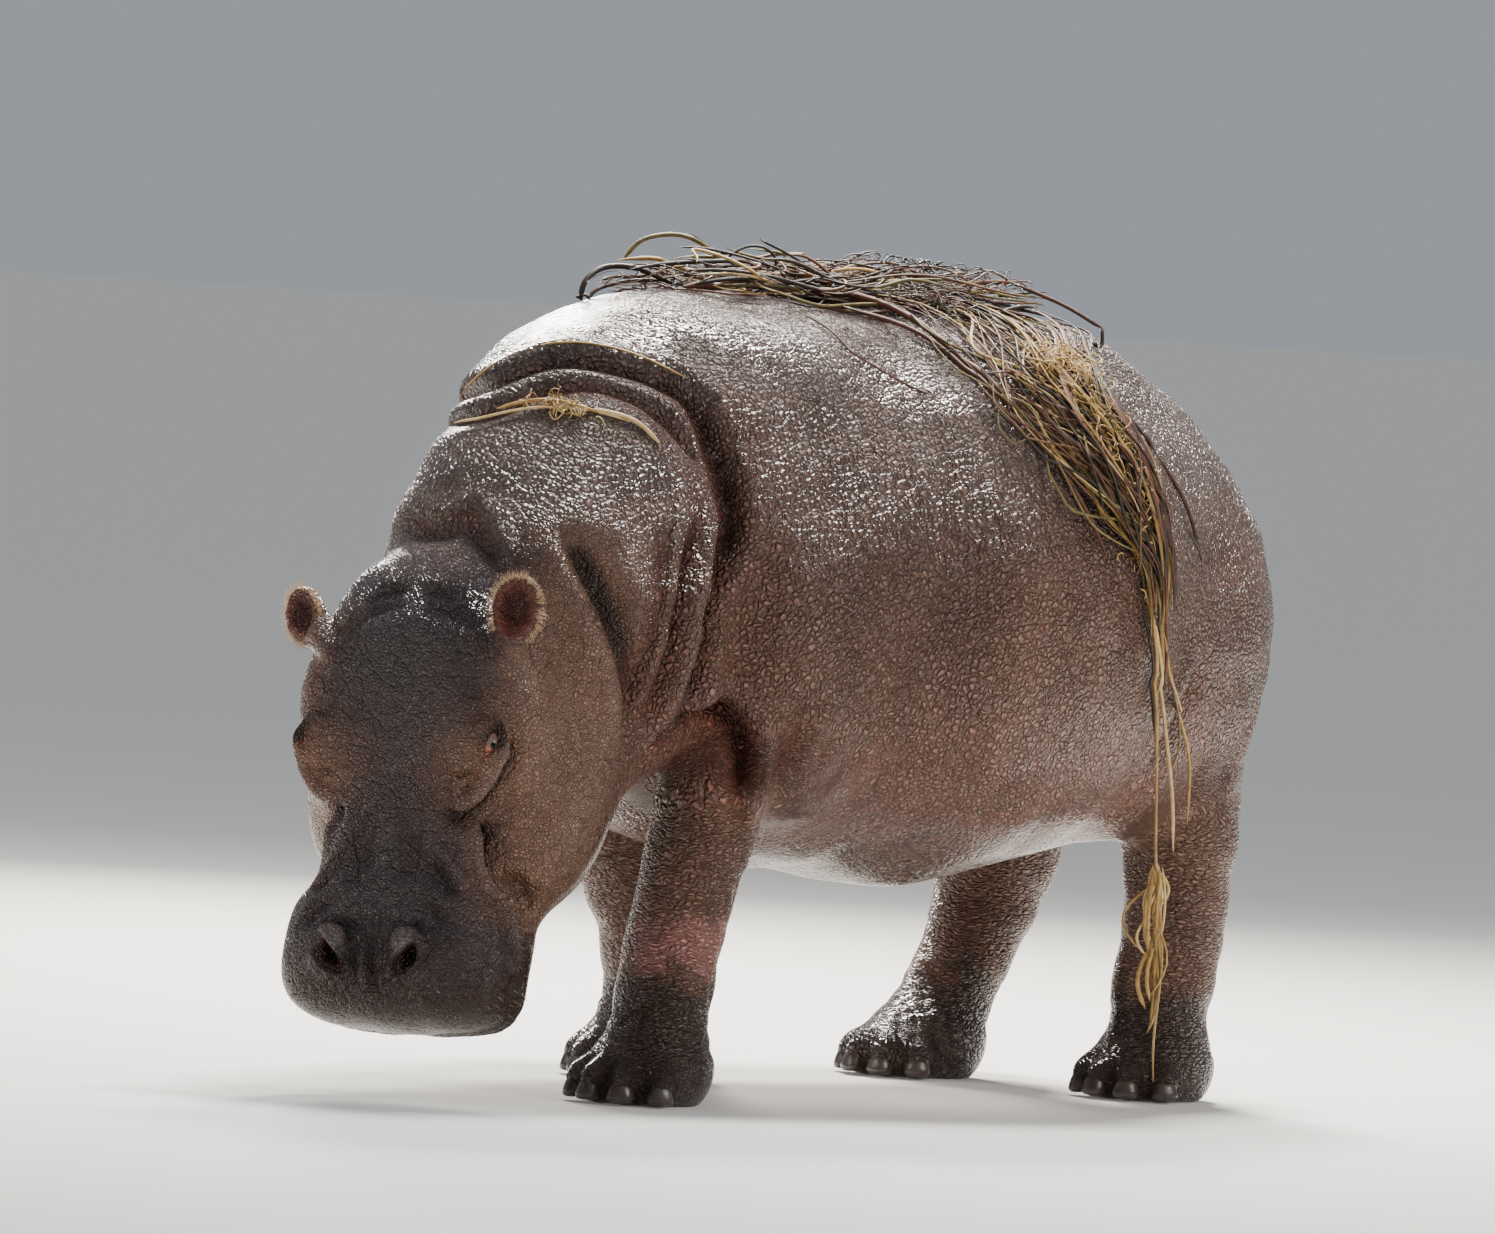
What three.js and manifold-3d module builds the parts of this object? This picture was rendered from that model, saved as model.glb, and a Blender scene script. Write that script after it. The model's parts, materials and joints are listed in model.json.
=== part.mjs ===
// A hippopotamus at life size, walking with its head lowered and turned to its left.
//
// The animal faces -Y, its left side is +X, +Z is up and the soles stand on z = 0. The
// origin is on the floor under the middle of its length and breadth. Sizes are millimetres.
// Stalks of reed that it has brought up out of the water lie over its back and left flank.
//
// The body is one smooth form: rounded lumps for the masses of flesh and tapering limbs,
// melted into each other. It is given as a function that is negative inside the body.
// Each named part is that form inside its own cutting box, meshed with facets small enough
// for its shape, so neighbours meet on flat faces with a hair's gap between them.

import * as THREE from 'three';
import { SimplifyModifier } from 'three/addons/modifiers/SimplifyModifier.js';
import { mergeVertices } from 'three/addons/utils/BufferGeometryUtils.js';
import Module from 'manifold-3d';

const wasm = await Module();
wasm.setup();

// ---------------------------------------------------------------- driving dimensions

const GAP = 0.35;                     // clearance between parts that meet
const MIDDLE = [16, -275, 0];         // the origin, measured from the floor under the barrel
const HEAD_PLACE = { at: [107, -1367, 806], yaw: 22.5, pitch: 77, roll: 9 };
const HEAD_SCALE = 0.92;              // this head against the nominal one below

// how the form becomes facets: their usual size, in millimetres
const FACETS = { trunk: 84, neck: 64, leg: 60, foot: 43, head: 39, tail: 34 };
const FINE = 2;                       // the grid is this much finer than that
const KEEP = 0.115;                   // share of the grid's corners left, fewest where it is flat

const ANKLE = 125;                    // height of the cut above each foot
const KNEE = 350;                     // and of the cut below each elbow or knee
const TOE_SPREAD = [-48, -16, 16, 48];               // degrees from straight ahead
const FOOT = { pad: [97, 116, 86], padHeight: 55, toe: [34, 58, 46], toeHeight: 40, reach: 86 };
const NAIL = { size: [21, 20, 17], height: 26, reach: 128 };
const EYE = { at: [177, 192, -58], radius: 27 };
const NOSTRIL = { at: [83, 612, -40], size: [17, 28, 20], slant: 20 };
// where each ear points and opens, in the head's own axes with x away from its middle
const EARS = {
  left: { side: 1, along: [0.26, -0.88, 0.36], opening: [0.10, 0.35, 0.93] },
  right: { side: -1, along: [0.68, -0.62, -0.28], opening: [0.35, 0.20, 0.90] },
};
const EAR_ROOT = [196, 6, -62];

// stations down each leg: x, y, height, radius; then where its foot is, the girth of the shoulder
// or thigh that is parted with it, and how far its toes turn out
const LEGS = {
  fore_left: {
    line: [[260, -600, 720, 130], [255, -675, 550, 104], [250, -740, 360, 90],
      [245, -775, 200, 83], [245, -785, 80, 88]],
    foot: [240, -800], girth: 168, turn: 5,
  },
  fore_right: {
    line: [[-260, -550, 720, 130], [-255, -420, 550, 104], [-250, -300, 360, 92],
      [-250, -235, 200, 86], [-250, -220, 80, 88]],
    foot: [-250, -235], girth: 165, turn: -5,
  },
  hind_left: {
    line: [[245, 560, 720, 160], [250, 620, 540, 115], [250, 630, 360, 96],
      [250, 615, 200, 88], [250, 600, 80, 90]],
    foot: [250, 590], girth: 185, turn: 5,
  },
  hind_right: {
    line: [[-245, 600, 720, 170], [-250, 700, 520, 132], [-250, 720, 380, 112],
      [-250, 660, 220, 86], [-250, 580, 80, 86]],
    foot: [-250, 530], girth: 190, turn: -5,
  },
};
// the reeds it carries: for each stalk, how far it rides over the hide and the stations it passes
const REEDS = {
  reeds_back: {
    radius: 17,
    stalks: [
      { lift: 30, line: [[-110, -640, 1390], [-60, -520, 1400], [10, -420, 1410], [110, -265, 1400]] },
      { lift: 56, line: [[-150, -560, 1390], [-60, -420, 1410], [0, -280, 1405], [60, -20, 1400]] },
      { lift: 30, line: [[60, -380, 1405], [60, -250, 1405], [30, -60, 1405], [90, 210, 1387]] },
    ],
  },
  reeds_flank: {
    radius: 16,
    stalks: [
      { lift: 24, line: [[195, -185, 1378], [300, -165, 1320], [484, -119, 1156], [556, -7, 969],
        [559, 51, 818]] },
      { lift: 27, line: [[100, -60, 1403], [339, -151, 1300], [486, -99, 1156], [545, 38, 1008],
        [551, 131, 856], [524, 217, 783]] },
      { lift: 24, line: [[84, 100, 1390], [296, 150, 1315], [459, 150, 1160], [538, 160, 934],
        [542, 170, 845]] },
    ],
  },
  reeds_hanging: {
    radius: 7,
    stalks: [
      { lift: 9, line: [[527, 224, 752], [548, 197, 441], [570, 200, 60]] },
      { lift: 20, line: [[527, 224, 752], [481, 303, 715], [450, 398, 601], [456, 399, 515]] },
    ],
  },
};
const REED_SIDES = 5;
const REED_STEP = 130;                // length of one straight run of a stalk
const HANGS_FREE = 60;                // a station further out than this isn't laid on the hide

const TAIL_LINE = [[0, 770, 1010, 62], [0, 850, 960, 44], [0, 893, 860, 33], [0, 900, 740, 26],
  [0, 896, 620, 20], [0, 890, 540, 12]];

const COLOUR = {
  hide: 0x7d6a68, darkHide: 0x4b4042, nail: 0x2b2624, eye: 0x1c1210, reed: 0xa88a4c,
};
const ROUGHNESS = {
  [COLOUR.hide]: 0.6, [COLOUR.darkHide]: 0.45, [COLOUR.nail]: 0.3, [COLOUR.eye]: 0.1, [COLOUR.reed]: 0.8,
};

// ---------------------------------------------------------------- frames and soft shapes

const rad = THREE.MathUtils.degToRad;

const mixed = (a, p, b, q) => a.clone().multiplyScalar(p).addScaledVector(b, q);

/** Axes fixed to a part: x to the animal's left, y ahead along the part, z up from it. */
function axesAt({ at = [0, 0, 0], yaw = 0, pitch = 0, roll = 0 }) {
  const level = new THREE.Vector3(Math.sin(rad(yaw)), -Math.cos(rad(yaw)), 0);
  const up = new THREE.Vector3(0, 0, 1);
  const ahead = mixed(level, Math.cos(rad(pitch)), up, -Math.sin(rad(pitch)));
  const top = mixed(level, Math.sin(rad(pitch)), up, Math.cos(rad(pitch)));
  const left = new THREE.Vector3().crossVectors(top, ahead);
  return new THREE.Matrix4().makeBasis(
    mixed(left, Math.cos(rad(roll)), top, Math.sin(rad(roll))),
    ahead,
    mixed(top, Math.cos(rad(roll)), left, -Math.sin(rad(roll))),
  ).setPosition(...at);
}

/** The same shape, given in a part's own axes and at that part's scale. */
function placed(axes, scale, shape) {
  const m = axes.clone().invert().elements;
  return (x, y, z) => scale * shape(
    (m[0] * x + m[4] * y + m[8] * z + m[12]) / scale,
    (m[1] * x + m[5] * y + m[9] * z + m[13]) / scale,
    (m[2] * x + m[6] * y + m[10] * z + m[14]) / scale,
  );
}

/** A rounded lump. Power 2 is an ellipsoid, a higher power is boxier. */
function lump(at, [sx, sy, sz], { pitch = 0, yaw = 0, roll = 0, power = 2 } = {}) {
  const round = (x, y, z) => {
    const [a, b, c] = [x / sx, y / sy, z / sz];
    const k = Math.sqrt(a * a + b * b + c * c) + 1e-9;
    return (k - 1) * k / (Math.sqrt((a / sx) ** 2 + (b / sy) ** 2 + (c / sz) ** 2) + 1e-9);
  };
  const boxy = (x, y, z) => {
    const [a, b, c] = [Math.abs(x / sx), Math.abs(y / sy), Math.abs(z / sz)];
    const [pa, pb, pc] = [a ** (power - 1), b ** (power - 1), c ** (power - 1)];
    const k = (a * pa + b * pb + c * pc) ** (1 / power) + 1e-9;
    const slope = Math.sqrt((pa / sx) ** 2 + (pb / sy) ** 2 + (pc / sz) ** 2) / k ** (power - 1);
    return (k - 1) / (slope + 1e-9);
  };
  return placed(axesAt({ at, yaw, pitch, roll }), 1, power === 2 ? round : boxy);
}

/** A tapering limb through stations of x, y, z and radius, on a smooth line. */
function limb(stations, steps = 3) {
  const ends = [stations[0].map((v, i) => 2 * v - stations[1][i]),
    stations.at(-1).map((v, i) => 2 * v - stations.at(-2)[i])];
  const p = [ends[0], ...stations, ends[1]];
  const rings = [];
  for (let i = 1; i < p.length - 2; i += 1) {
    for (let s = 0; s < steps; s += 1) {
      const t = s / steps;
      rings.push(p[i].map((_, k) => 0.5 * (2 * p[i][k] + (p[i + 1][k] - p[i - 1][k]) * t
        + (2 * p[i - 1][k] - 5 * p[i][k] + 4 * p[i + 1][k] - p[i + 2][k]) * t * t
        + (3 * p[i][k] - p[i - 1][k] - 3 * p[i + 1][k] + p[i + 2][k]) * t ** 3)));
    }
  }
  rings.push(stations.at(-1));
  const pieces = rings.slice(1).map((b, i) => {
    const a = rings[i];
    const [dx, dy, dz, dr] = b.map((v, k) => v - a[k]);
    return { a, dx, dy, dz, dr, length2: dx * dx + dy * dy + dz * dz };
  });
  return (x, y, z) => {
    let best = Infinity;
    for (const { a, dx, dy, dz, dr, length2 } of pieces) {
      const [px, py, pz] = [x - a[0], y - a[1], z - a[2]];
      const t = Math.min(1, Math.max(0, (px * dx + py * dy + pz * dz) / length2));
      const away2 = (px - t * dx) ** 2 + (py - t * dy) ** 2 + (pz - t * dz) ** 2;
      best = Math.min(best, Math.sqrt(away2) - a[3] - t * dr);
    }
    return best;
  };
}

function melt(a, b, reach) {
  const h = Math.max(reach - Math.abs(a - b), 0) / reach;
  return Math.min(a, b) - h * h * reach * 0.25;
}

/** Shapes melted together in turn; each entry after the first is [reach, shape]. */
function melted(first, ...rest) {
  return (x, y, z) => {
    let d = first(x, y, z);
    for (const [reach, shape] of rest) d = melt(d, shape(x, y, z), reach);
    return d;
  };
}

const bothSides = (shape) => (x, y, z) => shape(Math.abs(x), y, z);

// ---------------------------------------------------------------- the body's form

const trunk = melted(
  lump([0, -20, 930], [560, 700, 480]),                                 // barrel
  [140, lump([0, 20, 770], [510, 600, 390])],                           // belly
  [160, lump([0, -460, 900], [370, 420, 460])],                         // chest
  [120, lump([-15, -560, 1115], [345, 375, 285], { power: 2.3 })],      // withers
  [160, lump([0, 420, 940], [400, 380, 430])],                          // rump
  [80, bothSides(lump([245, -560, 840], [185, 240, 340]))],             // shoulders
  [100, bothSides(lump([235, 530, 800], [190, 260, 340]))],             // thighs
);

const neck = melted(
  lump([48, -868, 1035], [265, 420, 275], { pitch: 40, yaw: 10 }),      // crest
  [140, lump([85, -920, 810], [290, 330, 290], { pitch: 35, yaw: 12 })], // sides
);

function foot({ foot: [x, y], turn }) {
  const toes = TOE_SPREAD.map((angle) => [18, lump(
    [0.95 * FOOT.reach * Math.sin(rad(angle)), FOOT.reach * Math.cos(rad(angle)), FOOT.toeHeight],
    FOOT.toe, { yaw: -angle },
  )]);
  return placed(axesAt({ at: [x, y, 0], yaw: turn }), 1, melted(
    lump([0, -10, FOOT.padHeight], FOOT.pad),
    ...toes,
  ));
}

const legs = Object.values(LEGS).map((leg) => [25, melted(limb(leg.line), [50, foot(leg)])]);

const headAxes = axesAt(HEAD_PLACE);

const head = placed(headAxes, HEAD_SCALE, melted(
  lump([0, 40, -165], [228, 250, 155], { power: 2.3 }),                 // forehead
  [70, lump([0, 380, -175], [162, 320, 135], { power: 2.6 })],          // bridge
  [70, lump([0, 584, -195], [220, 126, 142], { power: 4.2 })],          // muzzle
  [50, bothSides(lump([122, 592, -160], [88, 108, 110]))],              // its two pads
  [40, bothSides(lump([196, 105, -150], [62, 120, 95]))],               // temples
  [45, bothSides(lump([144, 215, -98], [78, 98, 74]))],                 // eye sockets
  [35, bothSides(lump([82, 588, -68], [40, 58, 38]))],                  // nostril mounds
  [50, lump([0, 470, -305], [192, 195, 95])],                           // lower jaw
  [70, bothSides(lump([172, 218, -315], [124, 232, 178]))],             // cheeks
  [100, lump([0, 60, -370], [285, 270, 200])],                          // throat
));

const tail = limb(TAIL_LINE);

const body = melted(trunk, ...legs, [35, neck], [50, head], [30, tail]);

// ---------------------------------------------------------------- from form to facets

/** How far outside a box a point is; negative inside. */
function outside(lo, hi, x, y, z) {
  return Math.max(lo[0] - x, x - hi[0], lo[1] - y, y - hi[1], lo[2] - z, z - hi[2]);
}

/** The form's values on a grid. Blocks of cells that lie far from the surface share one value. */
function sampled(form, from, n, cell, index) {
  const value = new Float64Array(n[0] * n[1] * n[2]);
  const block = 4;
  const far = 1.5 * Math.sqrt(3) * (block / 2) * cell;
  for (let bi = 0; bi < n[0]; bi += block) {
    for (let bj = 0; bj < n[1]; bj += block) {
      for (let bk = 0; bk < n[2]; bk += block) {
        const centre = [bi, bj, bk].map((v, axis) => from[axis] + (v + (block - 1) / 2) * cell);
        const middle = form(...centre);
        for (let i = bi; i < Math.min(bi + block, n[0]); i += 1) {
          for (let j = bj; j < Math.min(bj + block, n[1]); j += 1) {
            for (let k = bk; k < Math.min(bk + block, n[2]); k += 1) {
              value[index(i, j, k)] = Math.abs(middle) > far ? middle
                : form(from[0] + i * cell, from[1] + j * cell, from[2] + k * cell);
            }
          }
        }
      }
    }
  }
  return value;
}

/** A closed faceted skin of the form in a box: one vertex in each cell that the surface crosses. */
function facets(form, lo, hi, cell) {
  const from = lo.map((v) => v - 1.4 * cell);
  const n = hi.map((v, i) => Math.ceil((v + 1.4 * cell - from[i]) / cell) + 1);
  const clipped = (x, y, z) => Math.max(form(x, y, z), outside(lo, hi, x, y, z));
  const index = (i, j, k) => (i * n[1] + j) * n[2] + k;
  const value = sampled(clipped, from, n, cell, index);
  const vertices = [];
  const vertexOf = new Map();
  const steps = [[1, 0, 0], [0, 1, 0], [0, 0, 1]];
  for (let i = 0; i + 1 < n[0]; i += 1) {
    for (let j = 0; j + 1 < n[1]; j += 1) {
      for (let k = 0; k + 1 < n[2]; k += 1) {
        const crossing = new THREE.Vector3();
        let crossings = 0;
        for (let corner = 0; corner < 8; corner += 1) {
          const a = [corner & 1, (corner >> 1) & 1, (corner >> 2) & 1];
          for (const step of steps) {
            const b = a.map((v, axis) => v + step[axis]);
            if (Math.max(...b) > 1) continue;
            const va = value[index(i + a[0], j + a[1], k + a[2])];
            const vb = value[index(i + b[0], j + b[1], k + b[2])];
            if ((va < 0) === (vb < 0)) continue;
            const along = va / (va - vb);
            crossing.add(new THREE.Vector3(...a.map((v, axis) => v + along * step[axis])));
            crossings += 1;
          }
        }
        if (crossings === 0) continue;
        crossing.divideScalar(crossings).add(new THREE.Vector3(i, j, k)).multiplyScalar(cell);
        vertexOf.set(index(i, j, k), vertices.length);
        vertices.push(pulledOnto(clipped, crossing.add(new THREE.Vector3(...from)), cell));
      }
    }
  }
  const triangles = [];
  for (let i = 1; i + 1 < n[0]; i += 1) {
    for (let j = 1; j + 1 < n[1]; j += 1) {
      for (let k = 1; k + 1 < n[2]; k += 1) {
        steps.forEach((step, axis) => {
          const inside = value[index(i, j, k)] < 0;
          if (inside === value[index(i + step[0], j + step[1], k + step[2])] < 0) return;
          const [u, w] = [steps[(axis + 1) % 3], steps[(axis + 2) % 3]];
          const quad = [[0, 0], [1, 0], [1, 1], [0, 1]].map(([p, q]) => vertexOf.get(
            index(i - p * u[0] - q * w[0], j - p * u[1] - q * w[1], k - p * u[2] - q * w[2]),
          ));
          triangles.push(...splitQuad(inside ? quad : quad.reverse(), vertices));
        });
      }
    }
  }
  const geometry = new THREE.BufferGeometry();
  geometry.setAttribute('position', new THREE.BufferAttribute(
    new Float32Array(vertices.flatMap((v) => v.toArray())), 3,
  ));
  geometry.setIndex(triangles);
  return geometry;
}

/** The same skin with fewer, larger facets where it is flattest. */
async function coarser(geometry, share) {
  const count = geometry.attributes.position.count;
  return new SimplifyModifier().modify(geometry, Math.round((1 - share) * count));
}

/** A point moved along the form's slope until it lies on the surface. */
function pulledOnto(form, point, cell) {
  const p = point.clone();
  const e = cell / 100;
  for (let pass = 0; pass < 3; pass += 1) {
    const slope = new THREE.Vector3(
      form(p.x + e, p.y, p.z) - form(p.x - e, p.y, p.z),
      form(p.x, p.y + e, p.z) - form(p.x, p.y - e, p.z),
      form(p.x, p.y, p.z + e) - form(p.x, p.y, p.z - e),
    ).divideScalar(2 * e);
    p.addScaledVector(slope, -form(p.x, p.y, p.z) / Math.max(slope.lengthSq(), 0.25));
  }
  return p.distanceTo(point) < cell ? p : point;
}

/** Two triangles for a quad, split along its shorter diagonal. */
function splitQuad([a, b, c, d], vertices) {
  return vertices[a].distanceTo(vertices[c]) < vertices[b].distanceTo(vertices[d])
    ? [a, b, c, a, c, d] : [a, b, d, b, c, d];
}

// ---------------------------------------------------------------- solids, cuts and joins

/** A three.js geometry as a solid, placed by a matrix. */
function solidOf(source, matrix = new THREE.Matrix4()) {
  const geometry = source.clone();
  geometry.deleteAttribute('normal');
  geometry.deleteAttribute('uv');
  const merged = mergeVertices(geometry.applyMatrix4(matrix), 1e-4);
  const triVerts = new Uint32Array(merged.index.array);
  if (matrix.determinant() < 0) triVerts.reverse();
  const vertProperties = new Float32Array(merged.attributes.position.array);
  return new wasm.Manifold(new wasm.Mesh({ numProp: 3, vertProperties, triVerts }));
}

/** A box from one corner to the other, in a part's axes, as a maker that can grow it on every side. */
function block(lo, hi, axes = new THREE.Matrix4()) {
  return (allowance) => {
    const size = hi.map((v, i) => v - lo[i] + 2 * allowance);
    const middle = new THREE.Matrix4().makeTranslation(...hi.map((v, i) => (v + lo[i]) / 2));
    return solidOf(new THREE.BoxGeometry(...size), axes.clone().multiply(middle));
  };
}

/** A capsule whose middle line runs between two points. */
function capsule(from, to, radius) {
  const [a, b] = [new THREE.Vector3(...from), new THREE.Vector3(...to)];
  const line = b.clone().sub(a).normalize();
  const turn = new THREE.Quaternion().setFromUnitVectors(new THREE.Vector3(0, 1, 0), line);
  const matrix = new THREE.Matrix4().compose(a.clone().lerp(b, 0.5), turn, new THREE.Vector3(1, 1, 1));
  return (allowance) => solidOf(
    new THREE.CapsuleGeometry(radius + allowance, a.distanceTo(b), 2, 10), matrix,
  );
}

/** An ellipsoid in a part's axes. */
function egg(at, size, axes, turn = {}, [across, down] = [12, 8]) {
  const matrix = axes.clone().multiply(axesAt({ at, ...turn }));
  return (allowance) => solidOf(
    new THREE.SphereGeometry(1, across, down).scale(...size.map((v) => v + allowance)), matrix,
  );
}

// ---------------------------------------------------------------- the parts and their cuts

const parts = [];

/** A part is the body's form inside its tool, less the tools of the parts before it. */
function part(name, facet, colour, tool) {
  parts.push({ name, facet, colour, tool });
}

for (const [name, { foot: [x, y], line, girth }] of Object.entries(LEGS)) {
  const [shinX, shinY] = line[3];
  part(`${name}_foot`, FACETS.foot, COLOUR.darkHide,
    block([x - 170, y - 230, -60], [x + 170, y + 200, ANKLE]));
  part(`${name}_shin`, FACETS.leg, COLOUR.darkHide,
    block([shinX - 190, shinY - 230, -60], [shinX + 190, shinY + 230, KNEE]));
  part(`${name}_upper`, FACETS.leg, COLOUR.hide, capsule(line[2], line[0], girth));
}
const neckRoot = axesAt({ at: [60, -760, 900], yaw: 6, pitch: 10 });
part('lower_jaw', FACETS.head, COLOUR.darkHide, block([-260, 240, -560], [260, 900, -280], headAxes));
part('head', FACETS.head, COLOUR.darkHide, block([-330, -80, -520], [380, 900, 330], headAxes));
part('tail', FACETS.tail, COLOUR.darkHide, block([-90, 850, 450], [90, 1000, 1100]));
part('neck', FACETS.neck, COLOUR.hide, block([-600, 0, -460], [600, 700, 600], neckRoot));
part('chest', FACETS.trunk, COLOUR.hide, block([-700, -1400, 100], [700, -290, 1600]));
part('rump', FACETS.trunk, COLOUR.hide, block([-700, 290, 100], [700, 1200, 1600]));
part('barrel', FACETS.trunk, COLOUR.hide, block([-700, -400, 100], [700, 400, 1600]));

/** The form inside a part's tool, less the tools of the parts before it, with a gap to them. */
async function section(i) {
  const { facet, tool } = parts[i];
  const shape = tool(0);
  const { min, max } = shape.boundingBox();
  const skin = facets(body, min.map((v) => v - facet), max.map((v) => v + facet), facet / FINE);
  let piece = solidOf(await coarser(skin, KEEP)).intersect(shape);
  for (const earlier of parts.slice(0, i)) {
    piece = piece.subtract(earlier.tool(GAP));
  }
  return piece;
}

// ---------------------------------------------------------------- what is set into the parts

const scaledHead = headAxes.clone().scale(new THREE.Vector3(HEAD_SCALE, HEAD_SCALE, HEAD_SCALE));

/** One ear: a stem that opens into a cup. Its axes are x across, y along the ear, z out of the cup. */
function ear({ side, along, opening }) {
  const y = new THREE.Vector3(...along).normalize();
  const z = new THREE.Vector3(...opening);
  z.addScaledVector(y, -z.dot(y)).normalize();
  const axes = scaledHead.clone().scale(new THREE.Vector3(side, 1, 1)).multiply(
    new THREE.Matrix4().makeBasis(new THREE.Vector3().crossVectors(y, z), y, z).setPosition(...EAR_ROOT),
  );
  return (allowance) => {
    const stem = new THREE.CylinderGeometry(27 + allowance, 34 + allowance, 80, 7).translate(0, 5, 0);
    const cup = egg([0, 78, 0], [52, 68, 28], axes, {}, [9, 6])(allowance);
    const hollow = egg([0, 84, 25], [41, 56, 26], axes, {}, [8, 5])(-allowance);
    return solidOf(stem, axes).add(cup).subtract(hollow);
  };
}

const inlays = [];
for (const [name, shape] of Object.entries(EARS)) {
  inlays.push({ name: `ear_${name}`, into: ['head', 'neck'], colour: COLOUR.hide, tool: ear(shape) });
}
for (const [name, side] of [['left', 1], ['right', -1]]) {
  const at = [side * EYE.at[0], EYE.at[1], EYE.at[2]];
  const size = [EYE.radius, EYE.radius, EYE.radius];
  inlays.push({
    name: `eye_${name}`, into: ['head'], colour: COLOUR.eye, tool: egg(at, size, scaledHead, {}, [8, 6]),
  });
}
for (const [name, { foot: [x, y], turn }] of Object.entries(LEGS)) {
  TOE_SPREAD.forEach((angle, i) => {
    const axes = axesAt({ at: [x, y, 0], yaw: turn });
    const at = [0.95 * NAIL.reach * Math.sin(rad(angle)), NAIL.reach * Math.cos(rad(angle)), NAIL.height];
    inlays.push({
      name: `${name}_nail_${i + 1}`, into: [`${name}_foot`], colour: COLOUR.nail,
      tool: egg(at, NAIL.size, axes, { yaw: -angle }, [6, 4]),
    });
  });
}

// ---------------------------------------------------------------- what it carries

/** A bent stalk, laid on the hide except where it hangs free, as a tube through its stations. */
function stalk({ lift, line }, radius) {
  const overHide = (x, y, z) => body(x, y, z) - lift;
  const laid = line.map((station) => {
    const point = new THREE.Vector3(...station);
    return overHide(...station) > HANGS_FREE ? point : pulledOnto(overHide, point, 1e3);
  });
  const path = new THREE.CatmullRomCurve3(laid);
  const round = new THREE.EllipseCurve(0, 0, radius, radius).getPoints(REED_SIDES).slice(1);
  const steps = Math.round(path.getLength() / REED_STEP);
  const shape = new THREE.Shape(round);
  return solidOf(new THREE.ExtrudeGeometry(shape, { steps, extrudePath: path, bevelEnabled: false }));
}

function bundle({ stalks, radius }) {
  return stalks.map((one) => stalk(one, radius)).reduce((all, one) => all.add(one));
}

const floor = block([-2000, -2500, -500], [2000, 2500, 0])(0);
const nostrils = [1, -1].map((side) => {
  const [x, y, z] = NOSTRIL.at;
  return egg([side * x, y, z], NOSTRIL.size, scaledHead, { yaw: side * NOSTRIL.slant }, [7, 5])(0);
});
const animal = new THREE.Group();
animal.position.set(...MIDDLE).negate();

function addPart(name, colour, shape) {
  const { vertProperties, triVerts } = shape.getMesh();
  const geometry = new THREE.BufferGeometry();
  geometry.setAttribute('position', new THREE.BufferAttribute(new Float32Array(vertProperties), 3));
  geometry.setIndex(Array.from(triVerts));
  const finish = new THREE.MeshStandardMaterial({ color: colour, roughness: ROUGHNESS[colour], metalness: 0 });
  const mesh = new THREE.Mesh(geometry, finish);
  mesh.name = name;
  animal.add(mesh);
}

for (const [i, { name, colour }] of parts.entries()) {
  let piece = await section(i);
  for (const inlay of inlays) {
    if (inlay.into.includes(name)) piece = piece.subtract(inlay.tool(GAP));
  }
  if (name.endsWith('_foot')) piece = piece.subtract(floor);
  if (name === 'head') nostrils.forEach((nostril) => { piece = piece.subtract(nostril); });
  addPart(name, colour, piece);
}
for (const { name, colour, tool } of inlays) addPart(name, colour, tool(0));
for (const [name, reeds] of Object.entries(REEDS)) addPart(name, COLOUR.reed, bundle(reeds));

export default animal;
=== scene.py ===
# %% [markdown]
# # A hippopotamus for a museum hall
#
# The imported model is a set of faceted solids: a head, a neck, three lengths of trunk, four legs, a
# tail, ears, eyes, toenails, and the reeds that the animal carries. They hold the size and the pose.
# This lesson puts the real surface over them: one skin with its folds, wet eyes, horn nails,
# bristles and straw. Blender works in metres, and every piece is made straight in the model's
# own frame, so nothing has to be moved into place afterwards.

# %% Load the solids
import json
import math

import bmesh
import bpy
import numpy as np
from mathutils import Matrix, Vector

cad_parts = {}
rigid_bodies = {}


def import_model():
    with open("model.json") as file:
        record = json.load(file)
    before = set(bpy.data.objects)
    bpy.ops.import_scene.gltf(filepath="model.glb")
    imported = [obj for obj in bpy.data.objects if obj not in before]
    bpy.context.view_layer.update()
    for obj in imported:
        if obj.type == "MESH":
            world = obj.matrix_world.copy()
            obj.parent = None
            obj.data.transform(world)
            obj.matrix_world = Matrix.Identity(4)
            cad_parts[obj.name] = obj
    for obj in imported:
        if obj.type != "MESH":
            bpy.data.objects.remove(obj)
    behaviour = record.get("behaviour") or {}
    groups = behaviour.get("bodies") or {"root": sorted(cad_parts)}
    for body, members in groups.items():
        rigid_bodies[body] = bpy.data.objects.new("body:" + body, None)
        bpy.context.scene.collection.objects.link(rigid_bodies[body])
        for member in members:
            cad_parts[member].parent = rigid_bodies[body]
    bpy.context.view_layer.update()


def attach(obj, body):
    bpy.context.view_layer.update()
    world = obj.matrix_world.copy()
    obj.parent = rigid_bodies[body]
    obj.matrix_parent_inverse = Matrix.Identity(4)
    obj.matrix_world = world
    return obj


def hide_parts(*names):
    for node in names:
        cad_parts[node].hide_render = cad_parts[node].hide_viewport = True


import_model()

# %% [markdown]
# ## The camera and the hall
#
# A long lens far away keeps the proportions true, as an animal is usually pictured. The lens is
# worked out from how wide the picture is at the animal. The camera is made by hand from three
# directions, so that its slight tilt can be set as an angle. Three small panels high above and
# behind make the wet hide glitter, and weaker ones at the side and in front fill the shadows.

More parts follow.
